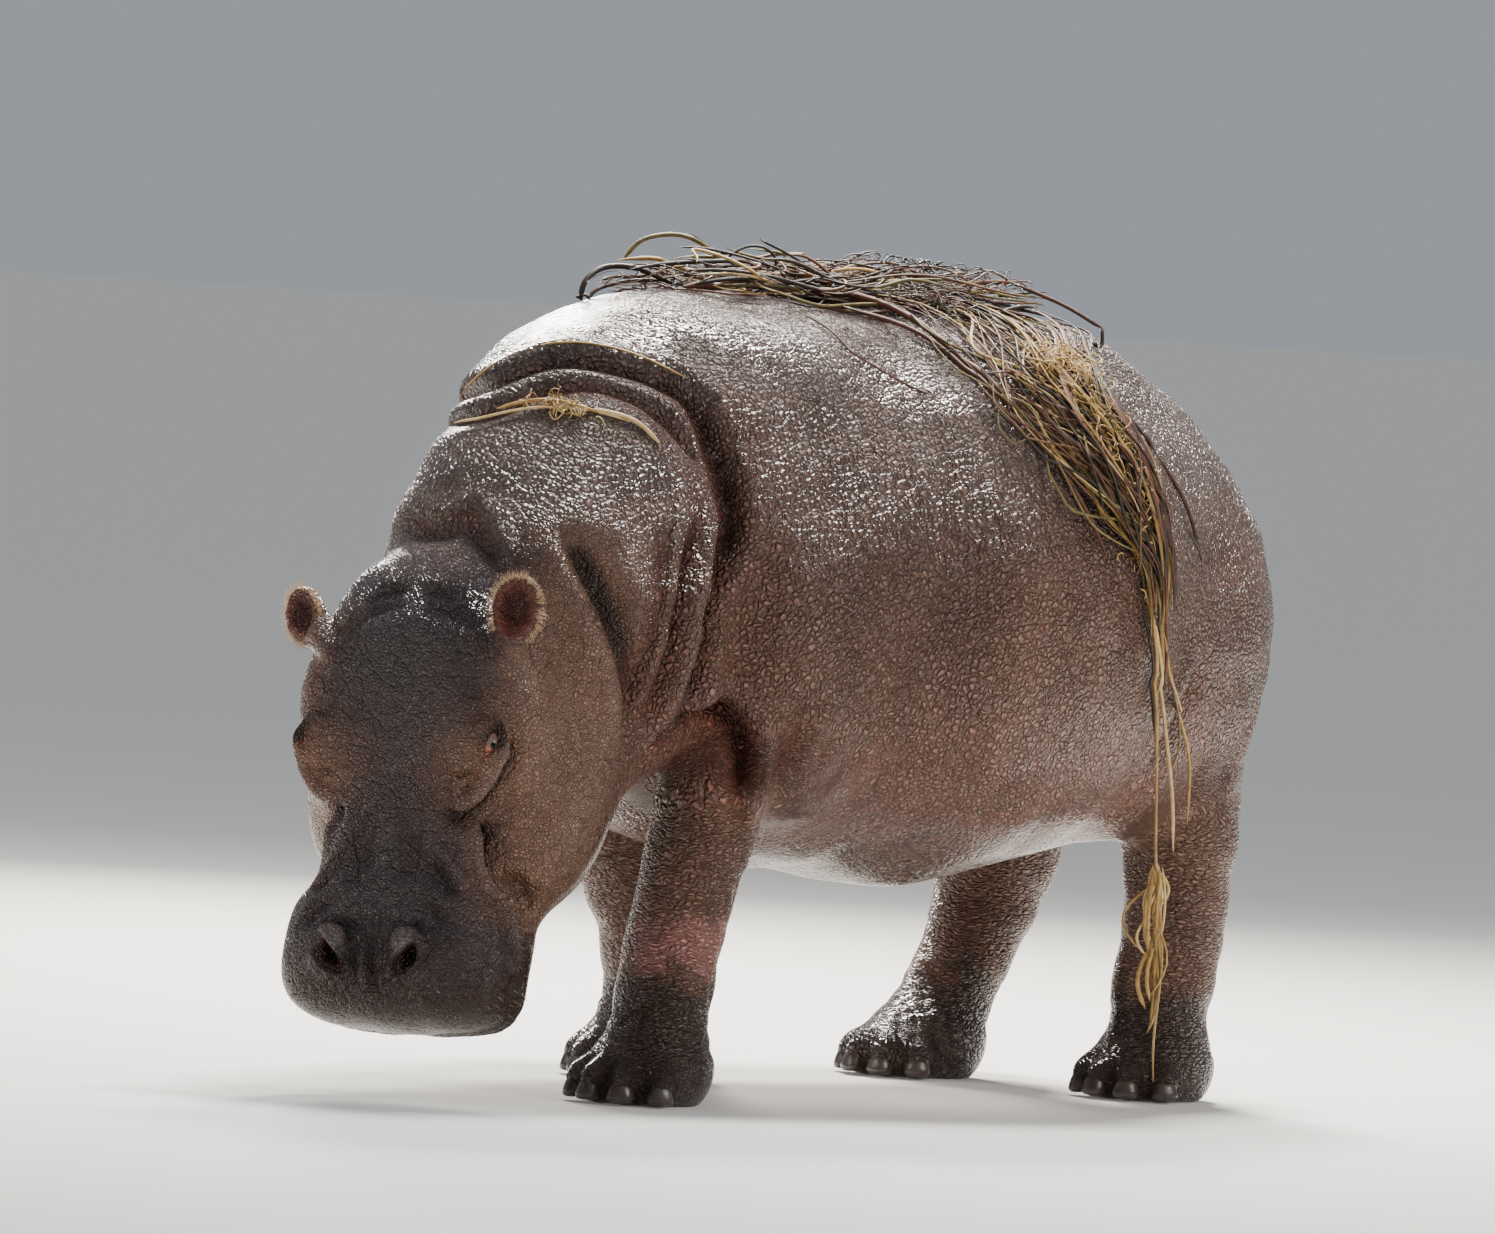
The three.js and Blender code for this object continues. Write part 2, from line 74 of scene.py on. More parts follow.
# %% Camera
VIEW_AZIMUTH, VIEW_ELEVATION, VIEW_ROLL = 40.0, 2.0, 3.5     # degrees
VIEW_DISTANCE = 35.0
VIEW_WIDTH = 2.67                                            # metres across the picture
VIEW_CENTRE = Vector((-0.172, 0.144, 0.834))

azimuth, elevation, roll = (math.radians(v) for v in (VIEW_AZIMUTH, VIEW_ELEVATION, VIEW_ROLL))
back = Vector((math.sin(azimuth) * math.cos(elevation), -math.cos(azimuth) * math.cos(elevation),
               math.sin(elevation)))
level = Vector((math.cos(azimuth), math.sin(azimuth), 0))
upward = back.cross(level)
right = level * math.cos(roll) + upward * math.sin(roll)
above = upward * math.cos(roll) - level * math.sin(roll)

camera_data = bpy.data.cameras.new("camera")
camera_data.lens = camera_data.sensor_width * VIEW_DISTANCE / VIEW_WIDTH
camera_data.clip_end = 3 * VIEW_DISTANCE
camera = bpy.data.objects.new("camera", camera_data)
camera.matrix_world = Matrix.Translation(VIEW_CENTRE + back * VIEW_DISTANCE) @ Matrix(
    (right, above, back)).transposed().to_4x4()
bpy.context.scene.collection.objects.link(camera)
bpy.context.scene.camera = camera
print("lens:", round(camera_data.lens), "mm")

# %% Light and floor
def panel(name, place, aim, size, watts, colour=(1, 1, 1)):
    """A soft rectangular light at a place, turned towards a point."""
    data = bpy.data.lights.new(name, "AREA")
    data.shape = "RECTANGLE"
    data.size, data.size_y = size
    data.energy = watts
    data.color = colour
    lamp = bpy.data.objects.new(name, data)
    lamp.matrix_world = Matrix.Translation(place) @ (
        (Vector(place) - Vector(aim)).to_track_quat("Z", "Y").to_matrix().to_4x4())
    bpy.context.scene.collection.objects.link(lamp)


MIDDLE_OF_BODY = (0, 0, 0.8)
panel("overhead", (-0.3, 1.2, 5.2), MIDDLE_OF_BODY, (1.0, 1.0), 560, (1.0, 0.97, 0.93))
panel("high_behind", (-2.3, 3.1, 4.6), MIDDLE_OF_BODY, (0.9, 0.9), 620, (1.0, 0.96, 0.90))
panel("behind", (-4.5, 3.6, 3.0), MIDDLE_OF_BODY, (1.0, 1.6), 420, (1.0, 0.95, 0.88))
panel("side", (5.5, 0.5, 3.4), MIDDLE_OF_BODY, (1.6, 1.6), 150, (1.0, 0.97, 0.93))
panel("front", (-2.5, -5.5, 3.6), MIDDLE_OF_BODY, (1.6, 1.6), 85)

world = bpy.data.worlds.new("hall")
world.use_nodes = True
world.node_tree.nodes["Background"].inputs["Color"].default_value = (0.78, 0.84, 0.93, 1)
world.node_tree.nodes["Background"].inputs["Strength"].default_value = 0.42
bpy.context.scene.world = world

# %% [markdown]
# ## Colours and nodes
#
# Colours are picked as sRGB hex values, as a paint chart gives them. Blender's shaders add up light,
# so one function turns a hex value into linear light. A second one adds a node, sets it up and joins
# it to the nodes before it. Those two are all the shaders below need.

# %% Helpers for materials
def paint(code, alpha=1.0):
    """An sRGB hex colour as linear red, green, blue and alpha."""
    channels = [int(code[i:i + 2], 16) / 255 for i in (1, 3, 5)]
    return [c / 12.92 if c <= 0.04045 else ((c + 0.055) / 1.055) ** 2.4 for c in channels] + [alpha]


def add(tree, kind, inputs=None, **settings):
    """A new node. Each input is a value or another node's output; settings are its own choices."""
    made = tree.nodes.new(kind)
    for name, value in settings.items():
        setattr(made, name, value)
    for name, value in (inputs or {}).items():
        if isinstance(value, bpy.types.NodeSocket):
            tree.links.new(value, made.inputs[name])
        else:
            made.inputs[name].default_value = value
    return made


def material(name):
    """An empty material with its output, ready for nodes."""
    made = bpy.data.materials.new(name)
    made.use_nodes = True
    made.node_tree.nodes.clear()
    return made, made.node_tree


MM = 0.001
print("a mid grey in linear light:", round(paint("#808080")[0], 3))

# %% Floor
floor_mesh = bpy.data.meshes.new("floor")
FLOOR = 60
floor_mesh.from_pydata([(-FLOOR, -FLOOR, 0), (FLOOR, -FLOOR, 0), (FLOOR, FLOOR, 0), (-FLOOR, FLOOR, 0)],
                       [], [(0, 1, 2, 3)])
floor = bpy.data.objects.new("floor", floor_mesh)
bpy.context.scene.collection.objects.link(floor)

# painted plaster: broad, even and matt, so that nothing competes with the animal
plaster, tree = material("painted plaster floor")
surface = add(tree, "ShaderNodeBsdfPrincipled", {"Base Color": paint("#dedbd5"), "Roughness": 0.85,
                                                 "Emission Color": paint("#dedbd5"),
                                                 "Emission Strength": 0.15})
add(tree, "ShaderNodeOutputMaterial", {"Surface": surface.outputs[0]})
floor_mesh.materials.append(plaster)
print("floor:", 2 * FLOOR, "m across")

# %% [markdown]
# ## The body as one form
#
# A skin could be sculpted, or built as a cage of quads under a subdivision surface. Here it is
# worked out: the body is a function that is negative inside and positive outside, built from rounded
# lumps and tapering limbs that melt into each other. That is how the solids were made too, so with
# the same lumps the skin fits them closely. Folds, lids and nostrils are pressed into the mesh later.
# Sizes are in millimetres from the floor under the barrel, and turn into metres when the mesh is made.

# %% Lumps, limbs and melting
MIDDLE = np.array([16.0, -275.0, 0.0])          # the model's origin, from the floor under the barrel


def axes_at(at=(0, 0, 0), yaw=0.0, pitch=0.0, roll=0.0):
    """A place with three directions: to the animal's left, ahead along the part, and up from it."""
    turned, dipped, rolled = np.radians([yaw, pitch, roll])
    level = np.array([np.sin(turned), -np.cos(turned), 0])
    up = np.array([0, 0, 1.0])
    ahead = level * np.cos(dipped) - up * np.sin(dipped)
    top = level * np.sin(dipped) + up * np.cos(dipped)
    left = np.cross(top, ahead)
    turn = [left * np.cos(rolled) + top * np.sin(rolled), ahead, top * np.cos(rolled) - left * np.sin(rolled)]
    return np.array(at, float), np.array(turn)


def placed(axes, scale, shape):
    """The same shape, given in a part's own axes and at its scale."""
    at, turn = axes
    return lambda p: scale * shape((p - at) @ turn.T / scale)


def lump(at, size, power=2.0, **turned):
    """A rounded lump. Power 2 is an ellipsoid, a higher power is boxier."""
    size = np.array(size, float)

    def solid(p):
        q = np.abs(p / size)
        slopes = q if power == 2 else q ** (power - 1)
        reach = (q * slopes).sum(1) ** (1 / power) + 1e-9
        return (reach - 1) * reach ** (power - 1) / (np.linalg.norm(slopes / size, axis=1) + 1e-9)
    return placed(axes_at(at, **turned), 1, solid)


def smooth_line(stations, steps):
    """A smooth line through stations, with equal steps between each two."""
    p = np.array([2 * np.array(stations[0]) - stations[1], *stations,
                  2 * np.array(stations[-1]) - stations[-2]], float)
    rings = []
    for a, b, c, d in zip(p, p[1:], p[2:], p[3:]):
        for t in np.arange(steps) / steps:
            rings.append(0.5 * (2 * b + (c - a) * t + (2 * a - 5 * b + 4 * c - d) * t * t
                                + (3 * b - a - 3 * c + d) * t ** 3))
    return np.array(rings + [p[-2]])


def limb(stations, steps=3):
    """A tapering limb through stations of x, y, height and radius."""
    rings = smooth_line(stations, steps)

    def solid(p):
        nearest = np.full(len(p), np.inf)
        for a, b in zip(rings, rings[1:]):
            run = b[:3] - a[:3]
            t = np.clip((p - a[:3]) @ run / (run @ run), 0, 1)
            away = np.linalg.norm(p - a[:3] - t[:, None] * run, axis=1)
            nearest = np.minimum(nearest, away - a[3] - t * (b[3] - a[3]))
        return nearest
    return solid


def melt(a, b, reach):
    h = np.maximum(reach - np.abs(a - b), 0) / reach
    return np.minimum(a, b) - h * h * reach / 4


def melted(first, *rest):
    """Shapes melted together in turn; each after the first comes as (reach, shape)."""
    def solid(p):
        d = first(p)
        for reach, shape in rest:
            d = melt(d, shape(p), reach)
        return d
    return solid


def both_sides(shape):
    return lambda p: shape(p * np.sign(p[:, :1]) ** np.array([1, 0, 0]))


def only_near(centre, radius, shape):
    """The shape worked out only inside a ball, to save time; far outside it is just far away."""
    def solid(p):
        away = np.linalg.norm(p - centre, axis=1)
        d = np.maximum(away - radius, 0) + 400
        near = away < radius
        d[near] = shape(p[near])
        return d
    return solid


print("a ball 10 mm in radius, 5 mm outside it:", lump([0, 0, 0], [10] * 3)(np.array([[15.0, 0, 0]])), "mm")

# %% [markdown]
# The trunk, neck and legs. Each lump is a mass of flesh that a keeper could point at. The stations
# down each leg are its bones' line: a hippopotamus stands on short pillars, with four toes spread
# round a soft pad.

# %% Trunk, neck, legs and tail
TOE_SPREAD = [-48, -16, 16, 48]                 # degrees from straight ahead
PAD, PAD_HEIGHT = [97, 116, 86], 55
TOE, TOE_HEIGHT, TOE_REACH = [34, 58, 46], 40, 86
TOE_SQUEEZE = 0.95                              # the toes' row is a little narrower than it is long
LEGS = {
    "fore_left": dict(line=[[260, -600, 720, 130], [255, -675, 550, 104], [250, -740, 360, 90],
                            [245, -775, 200, 83], [245, -785, 80, 88]], foot=[240, -800], turn=5),
    "fore_right": dict(line=[[-260, -550, 720, 130], [-255, -420, 550, 104], [-250, -300, 360, 92],
                             [-250, -235, 200, 86], [-250, -220, 80, 88]], foot=[-250, -235], turn=-5),
    "hind_left": dict(line=[[245, 560, 720, 160], [250, 620, 540, 115], [250, 630, 360, 96],
                            [250, 615, 200, 88], [250, 600, 80, 90]], foot=[250, 590], turn=5),
    "hind_right": dict(line=[[-245, 600, 720, 170], [-250, 700, 520, 132], [-250, 720, 380, 112],
                             [-250, 660, 220, 86], [-250, 580, 80, 86]], foot=[-250, 530], turn=-5),
}
TAIL_LINE = [[0, 770, 1010, 62], [0, 850, 960, 44], [0, 893, 860, 33], [0, 900, 740, 26],
             [0, 896, 620, 20], [0, 890, 540, 12]]

trunk = melted(
    lump([0, -20, 930], [560, 700, 480]),                                   # barrel
    (140, lump([0, 20, 770], [510, 600, 390])),                             # belly
    (160, lump([0, -460, 900], [370, 420, 460])),                           # chest
    (120, lump([-15, -560, 1115], [345, 375, 285], power=2.3)),             # withers
    (160, lump([0, 420, 940], [400, 380, 430])),                            # rump
    (80, both_sides(lump([245, -560, 840], [185, 240, 340]))),              # shoulders
    (100, both_sides(lump([235, 530, 800], [190, 260, 340]))),              # thighs
)
neck = melted(
    lump([48, -868, 1035], [265, 420, 275], pitch=40, yaw=10),              # crest
    (140, lump([85, -920, 810], [290, 330, 290], pitch=35, yaw=12)),        # sides
)


def foot_axes(leg):
    return axes_at([*leg["foot"], 0], yaw=leg["turn"])


def foot(leg):
    toes = [(18, lump([TOE_SQUEEZE * TOE_REACH * math.sin(math.radians(a)),
                       TOE_REACH * math.cos(math.radians(a)), TOE_HEIGHT], TOE, yaw=-a)) for a in TOE_SPREAD]
    return placed(foot_axes(leg), 1, melted(lump([0, -10, PAD_HEIGHT], PAD), *toes))


legs = [(25, only_near(np.array([*leg["foot"], 350]), 620, melted(limb(leg["line"]), (50, foot(leg)))))
        for leg in LEGS.values()]
tail = only_near(np.array([0, 870, 780]), 420, limb(TAIL_LINE))
print("legs:", len(legs), "toes on each:", len(TOE_SPREAD))

# %% [markdown]
# The head is given in its own axes, x to the animal's left, y down its face and z out of it, and
# then hung on the neck, turned, dipped and rolled a little. The eyes sit high on raised sockets and
# the nostrils on mounds of their own, because a hippopotamus watches and breathes with the rest of
# it under water.

# %% Head and ears
HEAD_PLACE = dict(at=[107, -1367, 806], yaw=22.5, pitch=77, roll=9)
HEAD_SCALE = 0.92
HEAD_AXES = axes_at(**HEAD_PLACE)
EARS = {
    "left": dict(side=1, along=[0.26, -0.88, 0.36], opening=[0.10, 0.35, 0.93]),
    "right": dict(side=-1, along=[0.68, -0.62, -0.28], opening=[0.35, 0.20, 0.90]),
}
EAR_ROOT = [196, 6, -62]

skull = melted(
    lump([0, 40, -165], [228, 250, 155], power=2.3),                        # forehead
    (70, lump([0, 380, -175], [162, 320, 135], power=2.6)),                 # bridge
    (70, lump([0, 584, -195], [220, 126, 142], power=4.2)),                 # muzzle
    (50, both_sides(lump([122, 592, -160], [88, 108, 110]))),               # its two pads
    (40, both_sides(lump([196, 105, -150], [62, 120, 95]))),                # temples
    (45, both_sides(lump([144, 215, -98], [78, 98, 74]))),                  # eye sockets
    (35, both_sides(lump([82, 588, -68], [40, 58, 38]))),                   # nostril mounds
    (50, lump([0, 470, -305], [192, 195, 95])),                             # lower jaw
    (70, both_sides(lump([172, 218, -315], [124, 232, 178]))),              # cheeks
    (100, lump([0, 60, -370], [285, 270, 200])),                            # throat
)


def head_point(p):
    """Points of the head's own axes, in the body's."""
    at, turn = HEAD_AXES
    return np.array(p, float) * HEAD_SCALE @ turn + at


def in_head(p):
    at, turn = HEAD_AXES
    return (p - at) @ turn.T / HEAD_SCALE


def ear_axes(side, along, opening):
    """The ear's axes inside the head's: x across, y along the ear, z out of its cup."""
    y = np.array(along, float) / np.linalg.norm(along)
    z = np.array(opening, float) - y * np.dot(opening, y)
    z /= np.linalg.norm(z)
    turn = np.array([np.cross(y, z), y, z]) * [side, 1, 1]
    return np.array(EAR_ROOT, float) * [side, 1, 1], turn


def ear(shape):
    """A thick stem that opens into a cup, with the cup's inside cut away."""
    solid = melted(limb([[0, -24, -8, 30], [0, 20, -4, 27], [0, 50, -6, 24]]),
                   (22, lump([0, 80, 0], [50, 66, 25])))
    hollow = lump([0, 84, 26], [40, 56, 28])
    in_ear = placed(ear_axes(**shape), 1, lambda q: -melt(-solid(q), hollow(q), 7))
    return placed(HEAD_AXES, HEAD_SCALE, in_ear)


ears = [only_near(head_point(ear_axes(**shape)[0]), 190, ear(shape)) for shape in EARS.values()]
print("ears hang from", [head_point(ear_axes(**s)[0]).round().tolist() for s in EARS.values()])

# %% [markdown]
# ## Eyes and nostrils
#
# The lids could be modelled as rings of polygons round the eye. Here the eyeball's own sphere, a
# little larger, swells the skin over it. Later an almond made of two arcs is sunk into that
# swelling, down to just under the real eyeball. The nostrils are slanting slits under a raised hood,
# and the hoods melt into the muzzle just as the lids melt into the brow.

# %% Eyes
EYE = dict(at=[177, 192, -58], radius=27 * HEAD_SCALE, out=[0.74, -0.12, 0.66], along=[0.24, -0.95, -0.22])
LID = 6.5                                       # thickness of the lids
OPENING = dict(half_length=34, upper=13, lower=17)


def eye_axes(side):
    """The eye's place and axes: towards the brow, along the opening to its outer corner, and out."""
    out, along = (np.array(EYE[k], float) * [side, 1, 1] for k in ("out", "along"))
    out /= np.linalg.norm(out)
    along -= out * (along @ out)
    along /= np.linalg.norm(along)
    brow = np.cross(along, out) * side
    return head_point(np.array(EYE["at"]) * [side, 1, 1]), np.array([brow, along, out]) @ HEAD_AXES[1]


def almond(q, grow=0.0):
    """Distance across the eye's axis from the rim of the opening; negative inside it."""
    rim = -np.full(len(q), np.inf)
    for half_width, way in ((OPENING["upper"], 1), (OPENING["lower"], -1)):
        half_length = OPENING["half_length"]
        radius = (half_length ** 2 + half_width ** 2) / (2 * half_width)
        rim = np.maximum(rim, np.hypot(q[:, 0] - way * (half_width - radius), q[:, 1]) - radius)
    return rim - grow


def eye_swelling(side):
    at = eye_axes(side)[0]
    return lambda p: np.linalg.norm(p - at, axis=1) - EYE["radius"] - LID


print("opening of an eye:", 2 * OPENING["half_length"] * HEAD_SCALE, "mm long at most")

# %% Nostrils
NOSTRIL = dict(at=[84, 613], size=[15, 33], slant=42, depth=32)
HOOD = dict(at=[76, 584, -44], size=[36, 30, 30])
NOSTRIL_RIM = dict(at=[96, 616, -54], size=[34, 36, 26], yaw=NOSTRIL["slant"])
mounds = placed(HEAD_AXES, HEAD_SCALE, both_sides(melted(lump(**HOOD), (18, lump(**NOSTRIL_RIM)))))


print("left eye at", eye_axes(1)[0].round(), "right eye at", eye_axes(-1)[0].round())

# %% [markdown]
# ## Folds
#
# Thick hide doesn't stretch, so wherever the animal bends, it gathers in folds. The skin on one side
# of a fold rolls over the crease, and the other side slides in under it. Each fold below is a route
# of a few points on the body. It is laid onto the smooth form, and then everything near it is pushed
# in or out by a lopsided profile: steep under the roll, and gentle on the other side.

# %% Laying a route on the form
SHORT = 0.5                                     # step for slopes, in millimetres


def slope(shape, p):
    """How far points are from the form's surface, and the direction straight out of it."""
    d = shape(p)
    grad = np.stack([shape(p + np.eye(3)[i] * SHORT) - d for i in range(3)], 1) / SHORT
    steep = np.linalg.norm(grad, axis=1)
    return d / np.maximum(steep, 0.7), grad / (steep[:, None] + 1e-9)


def settle(shape, p, rounds=3, most=12.0):
    """Points moved onto the form's surface, a limited way in each round."""
    for _ in range(rounds):
        d, grad = slope(shape, p)
        p = p - grad * np.clip(d, -most, most)[:, None]
    return p


body = melted(
    trunk, *legs, (35, neck),
    (50, only_near(head_point([0, 300, -200]), 760, placed(HEAD_AXES, HEAD_SCALE, skull))),
    (30, tail), (14, ears[0]), (14, ears[1]), (24, eye_swelling(1)), (24, eye_swelling(-1)), (20, mounds),
)


def smooth_form(p):
    """The whole body without its folds, with flat soles."""
    return -melt(-body(p), p[:, 2], 6)


def fold(route, depth, steep=9, gentle=26, roll=0.35, over=1, on_head=False, ends=0.18, strength=1.0,
         tuck=0.3):
    """How deep a fold presses the skin in, and how far it draws it sideways over the crease.
    The side that rolls over is `over`: 1 is the left of the route as it is seen from outside."""
    line = settle(body, smooth_line(head_point(route) if on_head else route, 8), 6)
    _, out = slope(body, line)
    low, high = line.min(0) - 3 * gentle, line.max(0) + 3 * gentle
    along = np.linspace(0, 1, len(line))

    def press(p):
        deep, drawn = np.zeros(len(p)), np.zeros((len(p), 3))
        near = np.flatnonzero(((p > low) & (p < high)).all(1))
        if not len(near):
            return deep, drawn
        q = p[near]
        best, place = np.full(len(q), np.inf), np.zeros(len(q))
        side, way = np.zeros(len(q)), np.zeros((len(q), 3))
        for a, b, n, s, e in zip(line, line[1:], out, along, along[1:]):
            run = b - a
            t = np.clip((q - a) @ run / (run @ run), 0, 1)
            gap = q - a - t[:, None] * run
            away = np.linalg.norm(gap, axis=1)
            closer = away < best
            best = np.where(closer, away, best)
            cross = np.cross(run, n)
            cross *= over / np.linalg.norm(cross)
            side = np.where(closer, np.sign(gap @ cross), side)
            way = np.where(closer[:, None], cross, way)
            place = np.where(closer, s + t * (e - s), place)
        across = side * best
        fade = np.clip(np.minimum(place, 1 - place) / ends, 0, 1)
        fade = fade * fade * (3 - 2 * fade) * strength
        crease = np.exp(-(across / np.where(across > 0, steep, gentle)) ** 2)
        bulge = np.exp(-((across - 2.1 * steep) / (1.4 * steep)) ** 2)
        deep[near] = depth * fade * (crease - roll * bulge)
        pull = tuck * depth * fade * np.exp(-((across - steep) / (1.2 * steep)) ** 2)
        drawn[near] = -way * pull[:, None]
        return deep, drawn
    return press


def sided(route, depth, far=0.6, **how):
    """A fold on the left and its mirror image on the right, which is `far` times as strong."""
    mirror = (np.array(route) * [-1, 1, 1]).tolist()
    over = how.pop("over", 1)
    return [fold(route, depth, over=over, **how), fold(mirror, depth, over=-over, strength=far, **how)]


print("depth of the left eye's middle in the form:", -smooth_form(eye_axes(1)[0][None]).round(1), "mm")

# %% Folds of the neck, the shoulder and the flank
body_folds = [
    fold([[-290, -760, 1150], [-190, -880, 1230], [-55, -1000, 1255], [68, -951, 1306], [160, -896, 1299],
          [242, -800, 1259], [289, -765, 1167], [336, -754, 1030], [357, -805, 891], [350, -846, 760],
          [331, -901, 652], [300, -950, 600]], 34, steep=13, gentle=46, over=-1, roll=0.2, ends=0.1),
    fold([[-230, -900, 1130], [-100, -1040, 1190], [31, -1080, 1200], [96, -1031, 1245], [175, -964, 1260],
          [239, -902, 1231], [286, -842, 1165], [317, -802, 1063]], 24, steep=11, gentle=38, over=-1,
         roll=0.18),
    fold([[300, -830, 1100], [337, -863, 1010], [373, -919, 890], [375, -939, 786], [352, -961, 690],
          [320, -980, 610]], 32, steep=15, gentle=36, over=-1, roll=0.35, ends=0.3),
    fold([[255, -900, 1080], [300, -950, 960], [335, -985, 850], [335, -1010, 750], [310, -1020, 660]],
         16, steep=14, gentle=34, over=-1, roll=0.3, ends=0.35),
    *sided([[240, -1120, 1010], [285, -1136, 951], [330, -1099, 851], [349, -1041, 713],
            [317, -1002, 607]], 34, far=0.7, steep=15, gentle=46, over=1, roll=0.2, ends=0.3),
    fold([[-120, -1180, 1020], [-20, -1230, 1010], [64, -1237, 1000], [111, -1214, 1025], [199, -1229, 944],
          [262, -1190, 930]], 16, steep=14, gentle=30, over=-1, roll=0.4, ends=0.3),
    *sided([[290, -970, 590], [325, -910, 640], [340, -840, 690], [342, -770, 700], [352, -715, 650],
            [356, -700, 560], [340, -712, 460]], 40, far=0.8, steep=15, gentle=46, over=-1, roll=0.4,
           ends=0.25),
    *sided([[330, -540, 470], [360, -600, 560], [390, -620, 650], [410, -590, 760]], 16, steep=20,
           gentle=50, ends=0.4),
    *sided([[464, 420, 860], [472, 350, 760], [464, 306, 681], [427, 300, 610], [370, 310, 560]], 26,
           far=0.4, steep=18, gentle=50, over=1, ends=0.3),
    *sided([[300, 800, 900], [360, 760, 780], [385, 700, 660], [360, 690, 560]], 14, far=1, steep=20,
           gentle=50, ends=0.4),
    *sided([[440, -300, 1230], [480, -330, 1080], [490, -350, 930], [460, -380, 780]], 8, far=1,
           steep=30, gentle=60, ends=0.4),
    *sided([[150, 700, 1200], [215, 690, 1060], [235, 700, 920]], 10, far=1, steep=24, gentle=50,
           ends=0.4),
]

print("folds of the body:", len(body_folds))

# %% Folds of the head
MOUTH_CORNER_IN = [[176, 434, -187], [183, 451, -205], [192, 469, -218], [208, 493, -218], [218, 517, -222]]
MOUTH_CORNER_OUT = [[214, 424, -240], [216, 440, -264], [213, 457, -284], [208, 478, -303], [206, 500, -318]]
head_folds = [
    *sided([[219, 150, -60], [223, 198, -68], [214, 234, -66], [193, 277, -66], [160, 309, -75],
            [128, 321, -68], [98, 318, -54]], 30, far=1, steep=8, gentle=26, over=1, roll=0.45,
           on_head=True, ends=0.22),
    *sided([[140, 162, -28], [172, 141, -40], [204, 142, -52]], 6, far=1, steep=8, gentle=16,
           on_head=True, ends=0.4),
    *sided([[176, 232, -32], [150, 254, -30], [112, 264, -30]], 11, far=1, steep=6, gentle=13,
           on_head=True, ends=0.4),
    *sided([[182, 246, -38], [156, 278, -42], [122, 300, -52]], 8, far=1, steep=6, gentle=12,
           on_head=True, ends=0.4),
    *sided([[80, 396, -50], [112, 426, -61], [141, 458, -71], [166, 490, -71]], 14, far=1, steep=8,
           gentle=24, over=-1, roll=0.4, on_head=True, ends=0.35),
    *sided([[82, 476, -42], [122, 508, -45], [150, 536, -48], [174, 562, -56]], 8, far=1, steep=8,
           gentle=20, over=-1, on_head=True, ends=0.4),
    *sided([[160, 316, -112], [162, 356, -122], [160, 398, -134], [171, 442, -154], [193, 474, -178],
            [218, 520, -182], [225, 561, -204], [223, 592, -232]], 28, far=1, steep=7, gentle=24, over=1,
           roll=0.5, on_head=True, ends=0.16),
    *sided([[170, 412, -165], [185, 430, -204], [197, 459, -236], [205, 490, -252]], 14, far=1, steep=6,
           gentle=14, on_head=True, ends=0.35),
    *sided([[176, 396, -186], [200, 424, -214], [212, 462, -262], [206, 500, -292]], 11, far=1, steep=6,
           gentle=13, on_head=True, ends=0.4),
    *sided([[224, 540, -236], [232, 600, -250], [222, 660, -268], [180, 700, -284], [100, 716, -292],
            [0, 718, -294]], 15, far=1, steep=7, gentle=22, over=1, roll=0.3, on_head=True, ends=0.1),
    fold([[-10, 556, -40], [-4, 600, -36], [2, 644, -46], [8, 676, -62]], 10, steep=7, gentle=11,
         on_head=True, ends=0.4),
    *sided([[24, 566, -36], [30, 610, -40], [26, 664, -66]], 6, far=1, steep=5, gentle=9, on_head=True,
           ends=0.4),
    *sided([[44, 600, -30], [54, 562, -29], [88, 550, -27], [116, 570, -29]], 17, far=1, steep=6,
           gentle=15, over=1, roll=0.5, on_head=True, ends=0.3),
    *[press for start, end in zip(MOUTH_CORNER_IN, MOUTH_CORNER_OUT)
      for press in sided([start, np.add(start, end) / 2 + [8, 0, 0], end], 5, far=1, steep=6, gentle=11,
                         on_head=True, ends=0.3)],
    *sided([[126, -51, -39], [60, -92, -32], [0, -100, -30]], 7, far=1, steep=9, gentle=18,
           on_head=True, ends=0.4),
    *sided([[150, -20, -40], [80, -58, -26], [0, -68, -22]], 5, far=1, steep=8, gentle=16,
           on_head=True, ends=0.4),
    *sided([[205, 60, -62], [180, 80, -30], [120, 96, -12]], 5, far=1, steep=14, gentle=26,
           on_head=True, ends=0.4),
    *sided([[62, 290, -40], [60, 410, -42], [60, 500, -46]], 9, far=1, steep=18, gentle=26, over=-1,
           on_head=True, ends=0.4),
]
print("folds:", len(body_folds) + len(head_folds))

# %% [markdown]
# Real hide is never as even as a formula. A few crossed waves, each a hand's breadth to a forearm
# long, give the flanks and the legs a slight unrest, and rings round each leg stand for the hide that
# gathers above the foot. They are only a few millimetres deep.

# %% Unevenness and rings
rng = np.random.default_rng(7)
WAVES = [(length, 0.0075 * length, *rng.normal(size=(1, 3)), rng.uniform(0, 6))
         for length in (420, 330, 260, 210, 170, 140, 115, 95, 80, 66, 300, 190, 125)]
RINGS = [(112, 5.0, 13), (142, 3.5, 12), (178, 2.5, 12), (262, 2.0, 16), (330, 3.0, 18), (420, 3.5, 20)]
LATTICE_MIDDLE = head_point([0, 330, -150])


